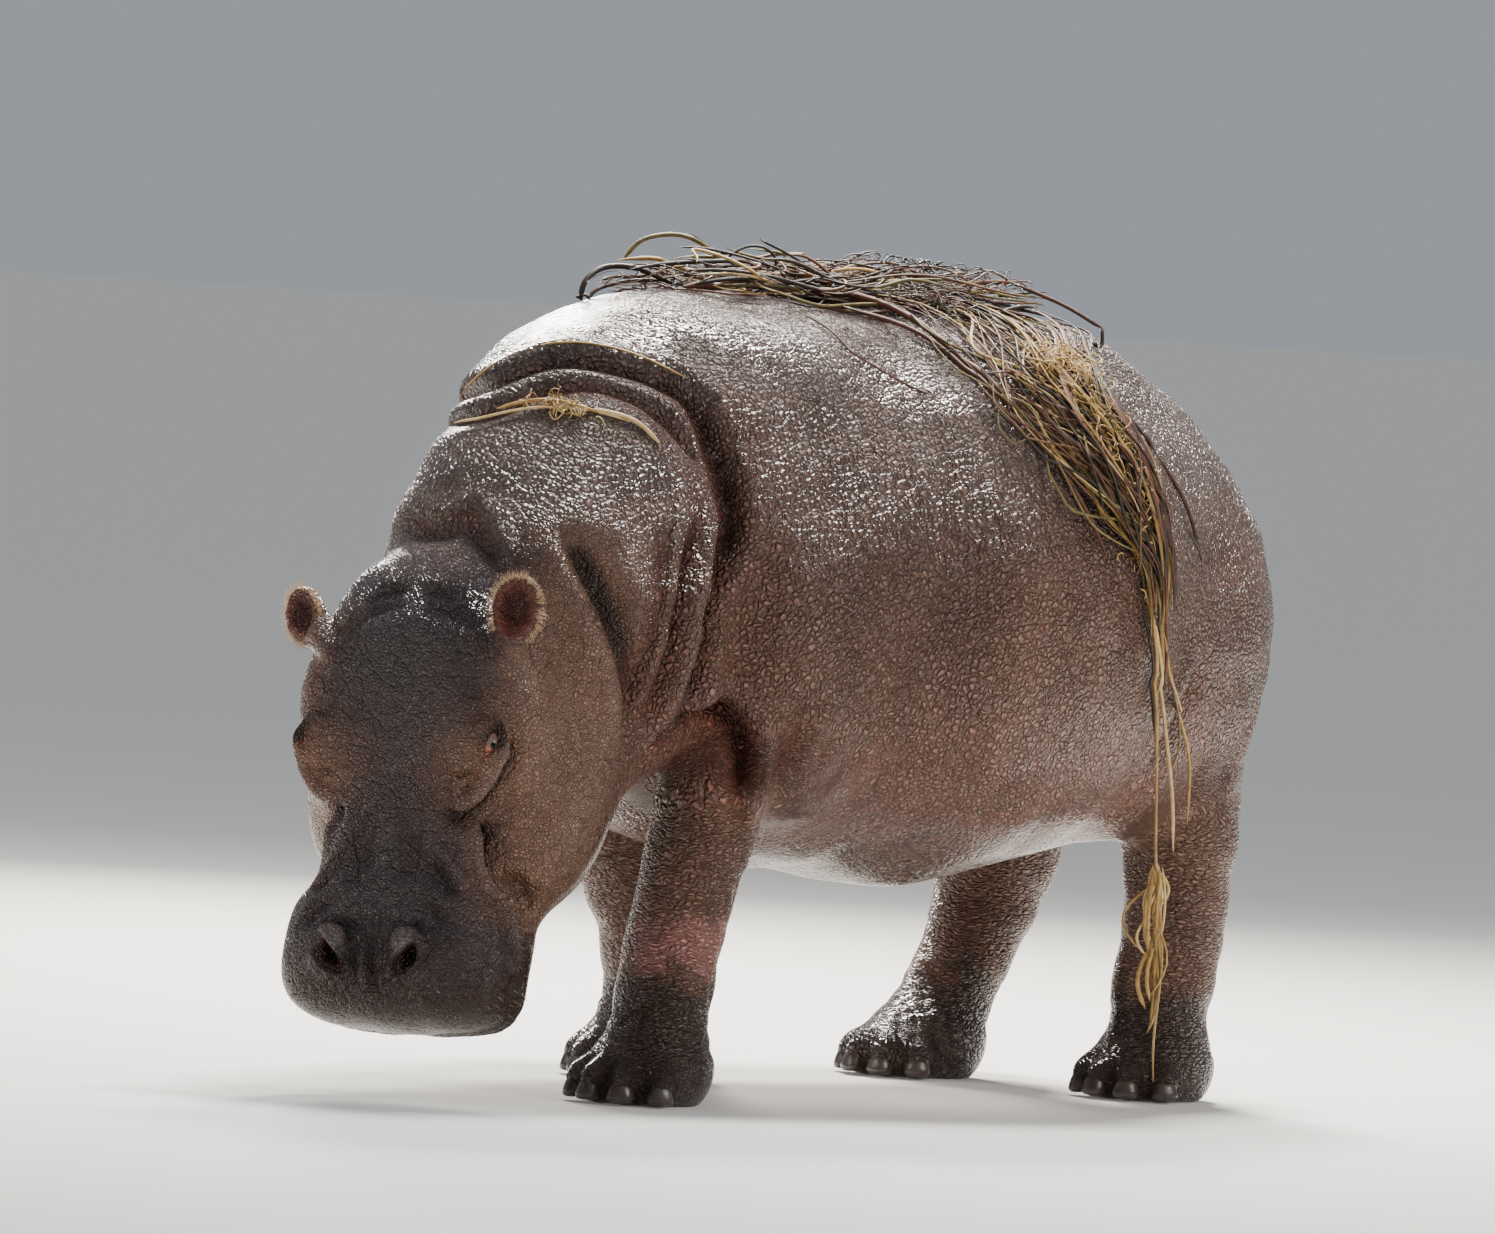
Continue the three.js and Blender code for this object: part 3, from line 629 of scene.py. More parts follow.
def uneven(p):
    """Slight waves all over, and rings of gathered hide round the legs."""
    moved = np.zeros(len(p))
    for length, height, way, start in WAVES:
        moved += height * np.sin(p @ (way / np.linalg.norm(way)) * 2 * np.pi / length + start)
    to_head = np.clip(1 - np.linalg.norm(p - LATTICE_MIDDLE, axis=1) / 620, 0, 1)
    moved *= np.clip((p[:, 2] - 60) / 140, 0, 1) * (1 - 0.8 * np.clip(2 * to_head, 0, 1))
    legs_only = np.clip((560 - p[:, 2]) / 120, 0, 1) * (to_head < 0.1)
    tilt = 10 * np.sin(p[:, 0] / 41) + 8 * np.sin(p[:, 1] / 53 + 1)
    for height, depth, width in RINGS:
        moved += legs_only * depth * np.exp(-((p[:, 2] + tilt - height) / width) ** 2)
    return moved


print("waves:", len(WAVES), "rings:", len(RINGS))

# %% [markdown]
# ## From the form to a mesh
#
# A lattice of points is laid over the whole animal, the form is worked out at each one, and wherever
# it changes sign a quad is put across: a method known as surface nets. An even lattice fine enough
# for the face would be far too heavy on the flanks, so the lattice is warped like a fish-eye lens,
# with its small cells round the head. Eyes, nostrils, ears, feet and creases are then divided once or
# twice more, and every new point is settled on the form. The folds come last: they move points in or
# out along the surface's own direction, and a little sideways over the crease.

# %% The warped lattice
CELL = 17.5                                     # lattice step far from the head
FINEST, REACH_OF_FINE = 0.42, 950.0             # share of it at the head, and how far that reaches
BLOCK = 8


def warp(g):
    far = np.linalg.norm(g, axis=-1, keepdims=True) ** 4
    return LATTICE_MIDDLE + g * (FINEST + (1 - FINEST) * far / (far + REACH_OF_FINE ** 4))


def sampled(shape, low, counts):
    """The form on the lattice, worked out only in the blocks that its surface passes."""
    blocks = np.stack(np.meshgrid(*map(np.arange, counts), indexing="ij"), -1).reshape(-1, 3)
    middles = shape(warp(low + (blocks + 0.5) * BLOCK * CELL))
    field = np.repeat(np.repeat(np.repeat(middles.reshape(counts), BLOCK, 0), BLOCK, 1), BLOCK, 2)
    inside = np.stack(np.meshgrid(*[np.arange(BLOCK)] * 3, indexing="ij"), -1).reshape(-1, 3)
    passed = blocks[np.abs(middles) < 1.6 * BLOCK * CELL]
    for some in np.array_split(passed, max(1, len(passed) // 200)):
        cells = (some[:, None] * BLOCK + inside).reshape(-1, 3)
        field[tuple(cells.T)] = shape(warp(low + cells * CELL))
    return field


def surface_nets(field):
    """Points and quads of the surface where a sampled form changes sign, in lattice steps."""
    inner = field < 0
    size = np.array(field.shape) - 1
    corners = [(i, j, k) for i in (0, 1) for j in (0, 1) for k in (0, 1)]
    filled = sum(inner[i:size[0] + i, j:size[1] + j, k:size[2] + k].astype(np.uint8)
                 for i, j, k in corners)
    cells = np.argwhere((filled > 0) & (filled < 8))
    number = -np.ones(size, np.int64)
    number[tuple(cells.T)] = np.arange(len(cells))
    total, crossings = np.zeros((len(cells), 3)), np.zeros(len(cells))
    for corner in corners:
        for axis in range(3):
            if corner[axis]:
                continue
            other = list(corner)
            other[axis] = 1
            a = field[tuple((cells + corner).T)]
            b = field[tuple((cells + other).T)]
            crossed = (a < 0) != (b < 0)
            point = np.tile(np.array(corner, float), (len(cells), 1))
            point[:, axis] = np.where(crossed, a / np.where(crossed, a - b, 1), 0)
            total += point * crossed[:, None]
            crossings += crossed
    quads = []
    for axis in range(3):
        first, second = [slice(1, -1)] * 3, [slice(1, -1)] * 3
        first[axis], second[axis] = slice(0, -1), slice(1, None)
        edges = np.argwhere(inner[tuple(first)] != inner[tuple(second)]) + (np.arange(3) != axis)
        u, w = [i for i in range(3) if i != axis]
        ring = []
        for du, dw in ((-1, -1), (0, -1), (0, 0), (-1, 0)):
            cell = edges.copy()
            cell[:, u] += du
            cell[:, w] += dw
            ring.append(number[tuple(cell.T)])
        ring = np.stack(ring, 1)
        outward = inner[tuple(edges.T)] != (axis == 1)
        quads.append(np.where(outward[:, None], ring, ring[:, ::-1]))
    return cells + total / crossings[:, None], np.concatenate(quads)


print("cells:", round(CELL * FINEST, 1), "mm at the head,", CELL, "mm far off")

# %% Lattice points that touch only diagonally
def joined(field, fill=-0.05 * CELL):
    """The lattice with points filled in until no face or cell has its inner or outer points only at
    opposite corners: there two sheets of the surface would share an edge or a point."""
    inner = field < 0
    before = inner.sum()

    def near(offset, span):
        return tuple(slice(o, n - s + o) for o, n, s in zip(offset, inner.shape, span))

    for _ in range(40):
        filled = inner.sum()
        for axis in range(3):
            span = [int(i != axis) for i in range(3)]
            u, w = [i for i in range(3) if i != axis]
            a, b, c, d = ([0, 0, 0], span, [int(i == u) for i in range(3)], [int(i == w) for i in range(3)])
            for one, two, three, four in ((a, b, c, d), (c, d, a, b)):
                crossed = (inner[near(one, span)] & inner[near(two, span)]
                           & ~inner[near(three, span)] & ~inner[near(four, span)])
                inner[near(three, span)] |= crossed
        cube = [1, 1, 1]
        corners = [[i, j, k] for i in (0, 1) for j in (0, 1) for k in (0, 1)]
        for one in corners[:4]:
            two = [1 - i for i in one]
            others = [inner[near(corner, cube)] for corner in corners if corner not in (one, two)]
            ends = inner[near(one, cube)], inner[near(two, cube)]
            only_ends = ends[0] & ends[1] & ~np.any(others, axis=0)
            all_but_ends = ~ends[0] & ~ends[1] & np.all(others, axis=0)
            beside = [one[0], one[1], 1 - one[2]]
            inner[near(beside, cube)] |= only_ends
            inner[near(one, cube)] |= all_but_ends
        if inner.sum() == filled:
            break
    print("lattice points filled in:", int(inner.sum() - before))
    return np.where(inner & (field >= 0), fill, field)


# %% The first mesh
BOX_LOW, BOX_HIGH = np.array([-600, -1520, -20]), np.array([620, 960, 1440])


def unwarped(p):
    """Lattice place of points, found by steps, since the warp has no simple way back."""
    g = (p - LATTICE_MIDDLE) / FINEST
    for _ in range(60):
        g = g - 0.5 * (warp(g) - p)
    return g


box_corners = np.array([[x, y, z] for x in np.linspace(BOX_LOW[0], BOX_HIGH[0], 9)
                        for y in np.linspace(BOX_LOW[1], BOX_HIGH[1], 9)
                        for z in np.linspace(BOX_LOW[2], BOX_HIGH[2], 9)])
lattice_box = unwarped(box_corners)
low = lattice_box.min(0) - 2 * CELL
counts = np.ceil((lattice_box.max(0) + 2 * CELL - low) / (BLOCK * CELL)).astype(int)
points, quads = surface_nets(joined(sampled(smooth_form, low, counts)))
points = settle(smooth_form, warp(low + points * CELL), 2)
print("first mesh:", len(points), "points", len(quads), "quads")

# %% [markdown]
# The wanted fineness is given by zones: balls round the eyes, nostrils and ears, a low layer at the
# feet, and wherever a fold moves the skin by more than a little. Dividing an edge only halves it, so
# after each division the points are evened out along the surface and settled on the form again.

# %% Finer where it matters
EYES = [eye_axes(side)[0] for side in (1, -1)]
SLITS = [head_point([side * NOSTRIL["at"][0], NOSTRIL["at"][1], -40]) for side in (1, -1)]
EAR_CUPS = [(np.array(EAR_ROOT) * [s["side"], 1, 1] + np.array(s["along"]) * 75) for s in EARS.values()]
EAR_CUPS = [head_point(cup) for cup in EAR_CUPS]
FOOT_LAYER, CREASED = 95, 2.5


def within(p, centres, radius):
    return np.any([np.linalg.norm(p - c, axis=1) < radius for c in centres], axis=0)


def first_zone(p):
    pressed = np.max([np.abs(press(p)[0]) for press in body_folds + head_folds], axis=0)
    feet = (p[:, 2] < FOOT_LAYER) & (p[:, 2] > 3)
    return (within(p, EYES, 85) | within(p, SLITS, 75) | within(p, EAR_CUPS, 95) | feet
            | (pressed > CREASED))


def second_zone(p):
    return within(p, EYES, 46) | within(p, SLITS, 42)


def divided(mesh, zone):
    """Cuts in two every edge whose ends are both in a zone."""
    p = np.empty(len(mesh.vertices) * 3)
    mesh.vertices.foreach_get("co", p)
    chosen = zone(p.reshape(-1, 3))
    work = bmesh.new()
    work.from_mesh(mesh)
    work.verts.ensure_lookup_table()
    edges = [e for e in work.edges if chosen[e.verts[0].index] and chosen[e.verts[1].index]]
    bmesh.ops.subdivide_edges(work, edges=edges, cuts=1, use_grid_fill=True, use_single_edge=True)
    work.to_mesh(mesh)
    work.free()


def evened(mesh, rounds):
    """Moves points to the middle of their neighbours, along the surface only, and settles them."""
    p, pairs = np.empty(len(mesh.vertices) * 3), np.empty(len(mesh.edges) * 2, np.int32)
    mesh.vertices.foreach_get("co", p)
    mesh.edges.foreach_get("vertices", pairs)
    p, (a, b) = p.reshape(-1, 3), pairs.reshape(-1, 2).T
    count = np.bincount(a, minlength=len(p)) + np.bincount(b, minlength=len(p))
    for _ in range(rounds):
        _, out = slope(smooth_form, p)
        total = np.stack([np.bincount(a, p[b, i], len(p)) + np.bincount(b, p[a, i], len(p))
                          for i in range(3)], 1)
        shift = total / count[:, None] - p
        p = p + 0.6 * (shift - out * (shift * out).sum(1, keepdims=True))
        p = settle(smooth_form, p, 1, 6.0)
    mesh.vertices.foreach_set("co", p.ravel())
    return p


skin_mesh = bpy.data.meshes.new("skin")
skin_mesh.from_pydata(points.tolist(), [], quads.tolist())
divided(skin_mesh, first_zone)
evened(skin_mesh, 2)
divided(skin_mesh, second_zone)
smooth_points = settle(smooth_form, evened(skin_mesh, 3), 1)
print("points:", len(smooth_points))

# %% [markdown]
# ## Pressing in the folds, the slits and the eyes
#
# Each point now moves in or out along the surface's own direction: for the waves and rings, for
# every fold, and for the nostrils. Round each eye it moves towards the middle of the eyeball: inside
# the almond down to just under the ball, and outside it only by the fine folds of the lids.

# %% Pressing
RIM_HEIGHT = 6                                  # how far the nostril's rim stands out
EYE_REACH = 105                                 # how far from an eye its lids still show


def slits(p):
    """How deep the nostrils press each point in: a slit bent like a comma, with a thick rim."""
    q = in_head(p)
    slant = math.radians(NOSTRIL["slant"])
    across, along = np.abs(q[:, 0]) - NOSTRIL["at"][0], q[:, 1] - NOSTRIL["at"][1]
    across, along = (across * math.cos(slant) + along * math.sin(slant),
                     along * math.cos(slant) - across * math.sin(slant))
    oval = (((across + 0.006 * along ** 2 - 1.5) / NOSTRIL["size"][0]) ** 2
            + (along / NOSTRIL["size"][1]) ** 2)
    front = np.clip((q[:, 2] + 110) / 30, 0, 1) * (q[:, 1] > 540)
    return front * (NOSTRIL["depth"] * np.exp(-oval ** 1.6) - RIM_HEIGHT * np.exp(-(oval - 2.3) ** 2))


def lidded(p, side):
    """Points round an eye, moved to make the lids; and how far each is inside the opening."""
    at, turn = eye_axes(side)
    q = (p - at) @ turn.T
    away = np.linalg.norm(q, axis=1, keepdims=True)
    near = (away[:, 0] < EYE_REACH) & (q[:, 2] > 0)
    rim = almond(q)
    fade = np.clip(q[:, 2] / 10, 0, 1) * near
    sunk = np.zeros(len(p))
    for distance, width, depth in ((8, 2.6, 2.6), (17, 3.6, 2.6), (28, 5, 1.6)):
        sunk += depth * np.exp(-((rim - distance) / width) ** 2)
    sunk -= 2.2 * np.exp(-((rim - 3) / 3) ** 2)
    opened = np.clip((0.8 - rim) / 3.6, 0, 1)
    opened = opened * opened * (3 - 2 * opened) * near
    goal = away[:, 0] - sunk * fade
    goal = goal + opened * (EYE["radius"] - 1.2 - goal)
    return np.where(near[:, None], at + q / away * goal[:, None] @ turn, p), opened, rim


_, outward = slope(smooth_form, smooth_points)
deep, drawn = uneven(smooth_points), np.zeros((len(smooth_points), 3))
creased, raised = np.zeros(len(smooth_points)), np.zeros(len(smooth_points))
for press in body_folds + head_folds:
    more, sideways = press(smooth_points)
    deep += more
    drawn += sideways
    creased, raised = np.maximum(creased, more), np.maximum(raised, -more)
slit_depth = slits(smooth_points)
points = smooth_points - outward * (deep + slit_depth)[:, None] + drawn
eye_open, eye_rim = np.zeros(len(points)), np.full(len(points), 200.0)
inwards = np.full(len(points), -200.0)          # towards the inner corner of the nearer eye
for side in (1, -1):
    points, opened, rim = lidded(points, side)
    eye_open = np.maximum(eye_open, opened)
    at, turn = eye_axes(side)
    near = np.linalg.norm(points - at, axis=1) < EYE_REACH
    eye_rim = np.where(near, rim, eye_rim)
    inwards = np.where(near, -(points - at) @ turn[1], inwards)
points[:, 2] = np.maximum(points[:, 2], 0)
placed_points = (points - MIDDLE) * MM
skin_mesh.vertices.foreach_set("co", placed_points.ravel())
skin_mesh.validate()
check = bmesh.new()
check.from_mesh(skin_mesh)
print("skin:", len(skin_mesh.vertices), "points", sum(len(f.verts) - 2 for f in check.faces), "triangles",
      "open or shared edges:", sum(not e.is_manifold for e in check.edges))
check.free()

# %% [markdown]
# ## What colour the hide is where
#
# Hippopotamus hide is grey-brown, greyer on the back and the face, and pink where it is thin or
# folded: in the creases, under the belly, round the eyes and in the ears. This one has waded, so its
# feet and the end of its muzzle are dark and wet, and one foreleg has a bare pink band. Shade is
# painted into the deepest creases, the nostrils and the hollows of the ears, and painted highlights
# lighten the rolls beside the folds and the hoods of the nostrils. Each of these is a mask between 0
# and 1 worked out at every point of the skin. The colours are mixed there and kept as a colour
# attribute, and the shader adds only what is finer than the mesh.

# %% Masks
def smooth_step(value, low, high):
    t = np.clip((value - low) / (high - low), 0, 1)
    return t * t * (3 - 2 * t)


def blotches(p, size, seed):
    """A cheap smooth noise between -1 and 1, from a few crossed waves of one size."""
    draw = np.random.default_rng(seed)
    total = np.zeros(len(p))
    for _ in range(7):
        way = draw.normal(size=3)
        total += np.sin(p @ (way / np.linalg.norm(way)) * 2 * np.pi / (size * draw.uniform(0.7, 1.5))
                        + draw.uniform(0, 6))
    return total / 3.5


coarse, medium, fine = (blotches(smooth_points, size, 3) for size in (420, 120, 38))
x, y, z = smooth_points.T
local = in_head(smooth_points)
head_share = smooth_step(local[:, 1] + 0.35 * np.abs(local[:, 0]) + 20 * medium, -260, -60)
head_share *= smooth_step(-y, 980, 1100) * smooth_step(z, 100, 160)
skyward = smooth_step(outward[:, 2] + 0.08 * medium, -0.15, 0.85)
under = smooth_step(-outward[:, 2], 0.1, 0.8) * smooth_step(z, 380, 520)
from_legs = np.min([limb(leg["line"])(smooth_points) for leg in LEGS.values()], axis=0)
leg_share = smooth_step(-z + 20 * medium, -680, -500) * smooth_step(-from_legs, -95, -25) * (1 - head_share)
wet_line = np.where((y < -450) & (x > 0), 222, 175) + 34 * medium + 16 * fine
wet = smooth_step(wet_line - z, -14, 14) * (1 - head_share)
muzzle_wet = head_share * smooth_step(local[:, 1] - 0.55 * (local[:, 2] + 110) + 16 * fine, 565, 680)
band_floor = 240 + 40 * np.sin(x / 17 + 1.5) * np.sin(y / 23) - 60 * smooth_step(-x, -232, -196)
band = smooth_step(z + 22 * fine + 20 * medium, band_floor - 16, band_floor + 18)
band *= smooth_step(-z + 14 * medium + 7 * fine, -334, -308)
band *= 0.86 + 0.14 * fine
band *= (y < -450) & (x > 0) & (head_share < 0.1)
crease = smooth_step(creased, 4, 24)
fold_roll_highlight = smooth_step(raised, 2, 9)
orbit = head_share * np.clip(sum(np.exp(-(np.linalg.norm(points - head_point([s * 165, 240, -50]), axis=1)
                                          / 85) ** 2) for s in (1, -1)), 0, 1)
cheek = head_share * smooth_step(np.abs(local[:, 0]) - 0.5 * (local[:, 2] + 120) + 18 * medium, 85, 250)
cheek *= 1 - smooth_step(local[:, 1], 470, 560)
poll = np.exp(-np.linalg.norm((local - [0, -75, -50]) / [195, 105, 110], axis=1) ** 4)
armpit = np.exp(-(np.linalg.norm((smooth_points - [300, -700, 620]) / [90, 110, 130], axis=1)) ** 2)


def in_ear_cup(name):
    shape = EARS[name]
    at, turn = ear_axes(**shape)
    q = (local - at) @ turn.T
    inside = (((q - [0, 84, 22]) / [42, 58, 30]) ** 2).sum(1)
    facing = outward @ (turn[2] @ HEAD_AXES[1]) > -0.2
    return smooth_step(-inside, -1.25, -0.85) * facing, smooth_step(-q[:, 2], -13, -1)


cups = [in_ear_cup(name) for name in EARS]
ear_inside = np.max([inside for inside, _ in cups], axis=0)
ear_hollow_shade = np.max([inside * low for inside, low in cups], axis=0)
ear_near = np.max([smooth_step(-np.linalg.norm(smooth_points - cup, axis=1), -66, -54) for cup in EAR_CUPS],
                  axis=0)
slit_inside = smooth_step(slit_depth, 3, 15)
# where the painted highlight on the nostril hoods lies
hood = np.exp(-((((np.abs(local[:, 0]) - 82) / 27) ** 2 + ((local[:, 1] - 590) / 20) ** 2) ** 1.5))
hood *= smooth_step(local[:, 2], -60, -30)
inner_corner = smooth_step(inwards, 4, 17)
tear_track = smooth_step(inwards, 20, 30) * smooth_step(-inwards, -62, -40) * smooth_step(-eye_rim, -26, -10)

print("share of the skin on the head:", round(float(head_share.mean()), 2), "pink band:",
      round(float(band.mean()), 3))

# %% Mixing the colours
mixed = np.tile(paint("#694c40")[:3], (len(points), 1))


TINTS = [                                       # each colour, and how much of it is where
    ("#7a5645", 0.5 + 0.4 * coarse),  # warm flanks
    ("#6a5d59", 0.85 * skyward * (1 - leg_share)),  # grey, dusted back
    ("#96685a", 0.6 * under + 0.25 * medium * under),  # pinkish belly
    ("#7f5f50", 0.75 * leg_share),  # darker legs
    ("#3d3134", 0.92 * head_share * (1 - 0.55 * cheek)),  # slate face
    ("#8a6753", 0.75 * cheek),  # brown cheeks
    ("#85604a", 0.85 * orbit),  # brown round the eyes
    ("#7a4536", 0.45 * crease * (1 - head_share) + 0.6 * armpit),
    # painted shade: the deepest creases of the face darkened almost to black
    ("#22130f", 0.85 * smooth_step(creased, 7, 24) * head_share),
    # painted shade: the deepest creases of the body darkened
    ("#2c1a14", 0.6 * smooth_step(creased, 16, 34) * (1 - head_share)),
    # painted highlight: the rolls beside the folds lightened
    ("#8f7770", 0.28 * fold_roll_highlight * (0.6 + 0.4 * head_share)),
    ("#b98078", 0.9 * band),  # the bare band
    ("#463a36", 0.85 * wet),  # wet mud
    ("#371f13", 0.88 * muzzle_wet),
    ("#4f3a33", 0.6 * ear_near * (1 - ear_inside)),
    ("#74392b", 0.95 * ear_inside),
    # painted shade: the inside of the ear cups darkened towards the bottom of the hollow
    ("#2a100a", 0.8 * ear_inside * ear_hollow_shade),
    ("#8c8280", 0.7 * hood * (1 - slit_inside)),  # painted highlight: the nostril hoods tinted pale grey for the sheen on their wet tops
    ("#5e3124", 0.9 * slit_inside),
    # painted shade: the nostrils near black where they are deepest
    ("#0f0605", 0.97 * smooth_step(slit_depth, 9, 21)),
    ("#2c1f1a", 0.8 * smooth_step(-eye_rim, -6, -1) * (1 - 0.7 * inner_corner)),  # dark lid margins
    ("#4a3028", 0.95 * smooth_step(eye_open, 0.3, 0.8)),  # inside of the lids
    ("#b8705c", 0.95 * smooth_step(eye_open, 0.2, 0.7) * inner_corner),
    ("#8d6355", 0.55 * tear_track),
]
for code, share in TINTS:
    share = np.clip(share, 0, 1)[:, None]
    mixed = mixed * (1 - share) + np.array(paint(code)[:3]) * share
mixed *= (1 + 0.07 * fine + 0.07 * medium)[:, None]
wetness = np.clip(wet + 0.75 * muzzle_wet + slit_inside + smooth_step(-eye_rim, -9, -2) + poll, 0, 1)


def keep(mesh, name, kind, values):
    """Keeps values on a mesh's points under a name."""
    made = mesh.attributes.new(name, kind, "POINT")
    made.data.foreach_set("color" if kind == "FLOAT_COLOR" else "value", np.ravel(values))


keep(skin_mesh, "hide_colour", "FLOAT_COLOR", np.column_stack([mixed, np.ones(len(mixed))]))
keep(skin_mesh, "wetness", "FLOAT", wetness)
keep(skin_mesh, "ringed", "FLOAT", np.clip(leg_share, 0, 1))
keep(skin_mesh, "on_face", "FLOAT", np.clip(head_share, 0, 1))
print("wet share:", round(float(wetness.mean()), 3), "crease share:", round(float(crease.mean()), 3))

# %% [markdown]
# ## Hide
#
# Living hide, thick and almost hairless. It is crackled all over into grains a few millimetres wide,
# which are drawn out into rings down the legs, and finer lines run between wider ones. A Voronoi
# texture gives such grains: its distance to the nearest cell edge is a little dome with cracks round
# it. The domes are what catch the light, so the back glitters. The cells are pushed about by noise
# first, because real cracks never run straight.

# %% Hide material
# living hide: grainy and half matt where it is dry, smooth and shiny where the water still stands on it
hide, tree = material("crackled wet hide")
GRAIN, FACE_GRAIN, WRINKLE, PORE = 11 * MM, 6.5 * MM, 34 * MM, 1.8 * MM
place = add(tree, "ShaderNodeTexCoord").outputs["Object"]
wander = add(tree, "ShaderNodeTexNoise", {"Vector": place, "Scale": 0.45 / GRAIN, "Detail": 2.0})
push = add(tree, "ShaderNodeVectorMath", {0: wander.outputs["Color"], 1: (0.5, 0.5, 0.5)},
           operation="SUBTRACT")
push = add(tree, "ShaderNodeVectorMath", {0: push.outputs[0], "Scale": 1.3 * GRAIN}, operation="SCALE")
place_pushed = add(tree, "ShaderNodeVectorMath", {0: place, 1: push.outputs[0]}, operation="ADD").outputs[0]
ringed_share = add(tree, "ShaderNodeAttribute", attribute_name="ringed").outputs["Fac"]
squeezed = add(tree, "ShaderNodeVectorMath", {0: place_pushed, 1: (0.7, 0.7, 1.9)}, operation="MULTIPLY")
rings = add(tree, "ShaderNodeMix", {"Factor": ringed_share, 4: place_pushed, 5: squeezed.outputs[0]},
            data_type="VECTOR").outputs[1]
on_face = add(tree, "ShaderNodeAttribute", attribute_name="on_face").outputs["Fac"]
coarse_grains, face_grains = (
    add(tree, "ShaderNodeTexVoronoi", {"Vector": rings, "Scale": 1 / size},
        feature="DISTANCE_TO_EDGE").outputs["Distance"] for size in (GRAIN, FACE_GRAIN))
grains = add(tree, "ShaderNodeMix", {"Factor": on_face, 2: coarse_grains, 3: face_grains},
             data_type="FLOAT").outputs[0]
wrinkles = add(tree, "ShaderNodeTexVoronoi", {"Vector": rings, "Scale": 1 / WRINKLE},
               feature="DISTANCE_TO_EDGE").outputs["Distance"]
pores = add(tree, "ShaderNodeTexNoise", {"Vector": place, "Scale": 1 / PORE, "Detail": 3.0}).outputs["Fac"]
patches = add(tree, "ShaderNodeTexNoise", {"Vector": place, "Scale": 9.0, "Detail": 5.0}).outputs["Fac"]

domes = add(tree, "ShaderNodeMapRange", {"Value": grains, "From Max": 0.36, "To Max": 9.0 * MM},
            interpolation_type="SMOOTHERSTEP").outputs[0]
lower = add(tree, "ShaderNodeMapRange", {"Value": on_face, "To Min": 1.0, "To Max": 0.5}).outputs[0]
domes = add(tree, "ShaderNodeMath", {0: domes, 1: lower}, operation="MULTIPLY").outputs[0]
valleys = add(tree, "ShaderNodeMapRange", {"Value": wrinkles, "From Max": 0.12, "To Max": 3.6 * MM},
              interpolation_type="SMOOTHERSTEP").outputs[0]
height = add(tree, "ShaderNodeMath", {0: domes, 1: valleys}, operation="ADD").outputs[0]
height = add(tree, "ShaderNodeMath", {0: pores, 1: 0.8 * MM, 2: height}, operation="MULTIPLY_ADD").outputs[0]
bump = add(tree, "ShaderNodeBump", {"Height": height, "Distance": 1.0, "Strength": 1.0}).outputs[0]

base = add(tree, "ShaderNodeAttribute", attribute_name="hide_colour").outputs["Color"]
# painted shade and light: the base colour is darkened to about a third in the cracks between the grains and
# lifted a little on their domes
cracks = add(tree, "ShaderNodeMapRange", {"Value": grains, "From Max": 0.2, "To Min": 0.36, "To Max": 1.16})
shaded = add(tree, "ShaderNodeMix", {"Factor": 1.0, 6: base, 7: cracks.outputs[0]}, data_type="RGBA",
             blend_type="MULTIPLY").outputs[2]
cloud = add(tree, "ShaderNodeMapRange", {"Value": patches, "From Min": 0.3, "From Max": 0.7,
                                         "To Min": 0.84, "To Max": 1.14})
shaded = add(tree, "ShaderNodeMix", {"Factor": 1.0, 6: shaded, 7: cloud.outputs[0]}, data_type="RGBA",
             blend_type="MULTIPLY").outputs[2]
wet_share = add(tree, "ShaderNodeAttribute", attribute_name="wetness").outputs["Fac"]
dry = add(tree, "ShaderNodeMapRange", {"Value": patches, "From Min": 0.3, "From Max": 0.7,
                                       "To Min": 0.19, "To Max": 0.32}).outputs[0]
sheen = add(tree, "ShaderNodeMix", {"Factor": wet_share, 2: dry, 3: 0.12}, data_type="FLOAT").outputs[0]
surface = add(tree, "ShaderNodeBsdfPrincipled", {"Base Color": shaded, "Roughness": sheen, "Normal": bump,
                                                 "IOR": 1.42})
add(tree, "ShaderNodeOutputMaterial", {"Surface": surface.outputs[0]})

skin = bpy.data.objects.new("skin", skin_mesh)
bpy.context.scene.collection.objects.link(skin)
skin_mesh.materials.append(hide)
skin_mesh.polygons.foreach_set("use_smooth", [True] * len(skin_mesh.polygons))
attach(skin, "root")
legs_and_feet = [f"{leg}_{part}" for leg in LEGS for part in ("foot", "shin", "upper")]
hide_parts("head", "lower_jaw", "neck", "chest", "barrel", "rump", "tail", "ear_left", "ear_right",
            *legs_and_feet)
print("skin material:", hide.name)

# %% [markdown]
# ## Eyeballs
#
# A wet ball with a swollen clear front. Only a little of it shows between the lids, so it is a ball
# of rings round the line of sight, and each point keeps how far it is from that line. The shader
# turns that distance into pupil, iris and white, and the white reddens towards the inner corner.
# The pupil of a hippopotamus lies flat, so the distance is measured on a squeezed circle.

# %% Eyeball material
# tear film over the clear front of the eye: very smooth, with the refraction of water
eye_film, tree = material("wet eye")
ring = add(tree, "ShaderNodeAttribute", attribute_name="from_sight").outputs["Fac"]
pupil = add(tree, "ShaderNodeAttribute", attribute_name="from_pupil").outputs["Fac"]
corner = add(tree, "ShaderNodeAttribute", attribute_name="corner").outputs["Fac"]
place = add(tree, "ShaderNodeTexCoord").outputs["Object"]
fibres = add(tree, "ShaderNodeTexNoise", {"Vector": place, "Scale": 420.0, "Detail": 3.0}).outputs["Fac"]
iris = add(tree, "ShaderNodeMix", {"Factor": fibres, 6: paint("#4f3f36"), 7: paint("#94806f")},
           data_type="RGBA").outputs[2]
dark = add(tree, "ShaderNodeMapRange", {"Value": pupil, "From Min": 0.9, "From Max": 1.1}).outputs[0]
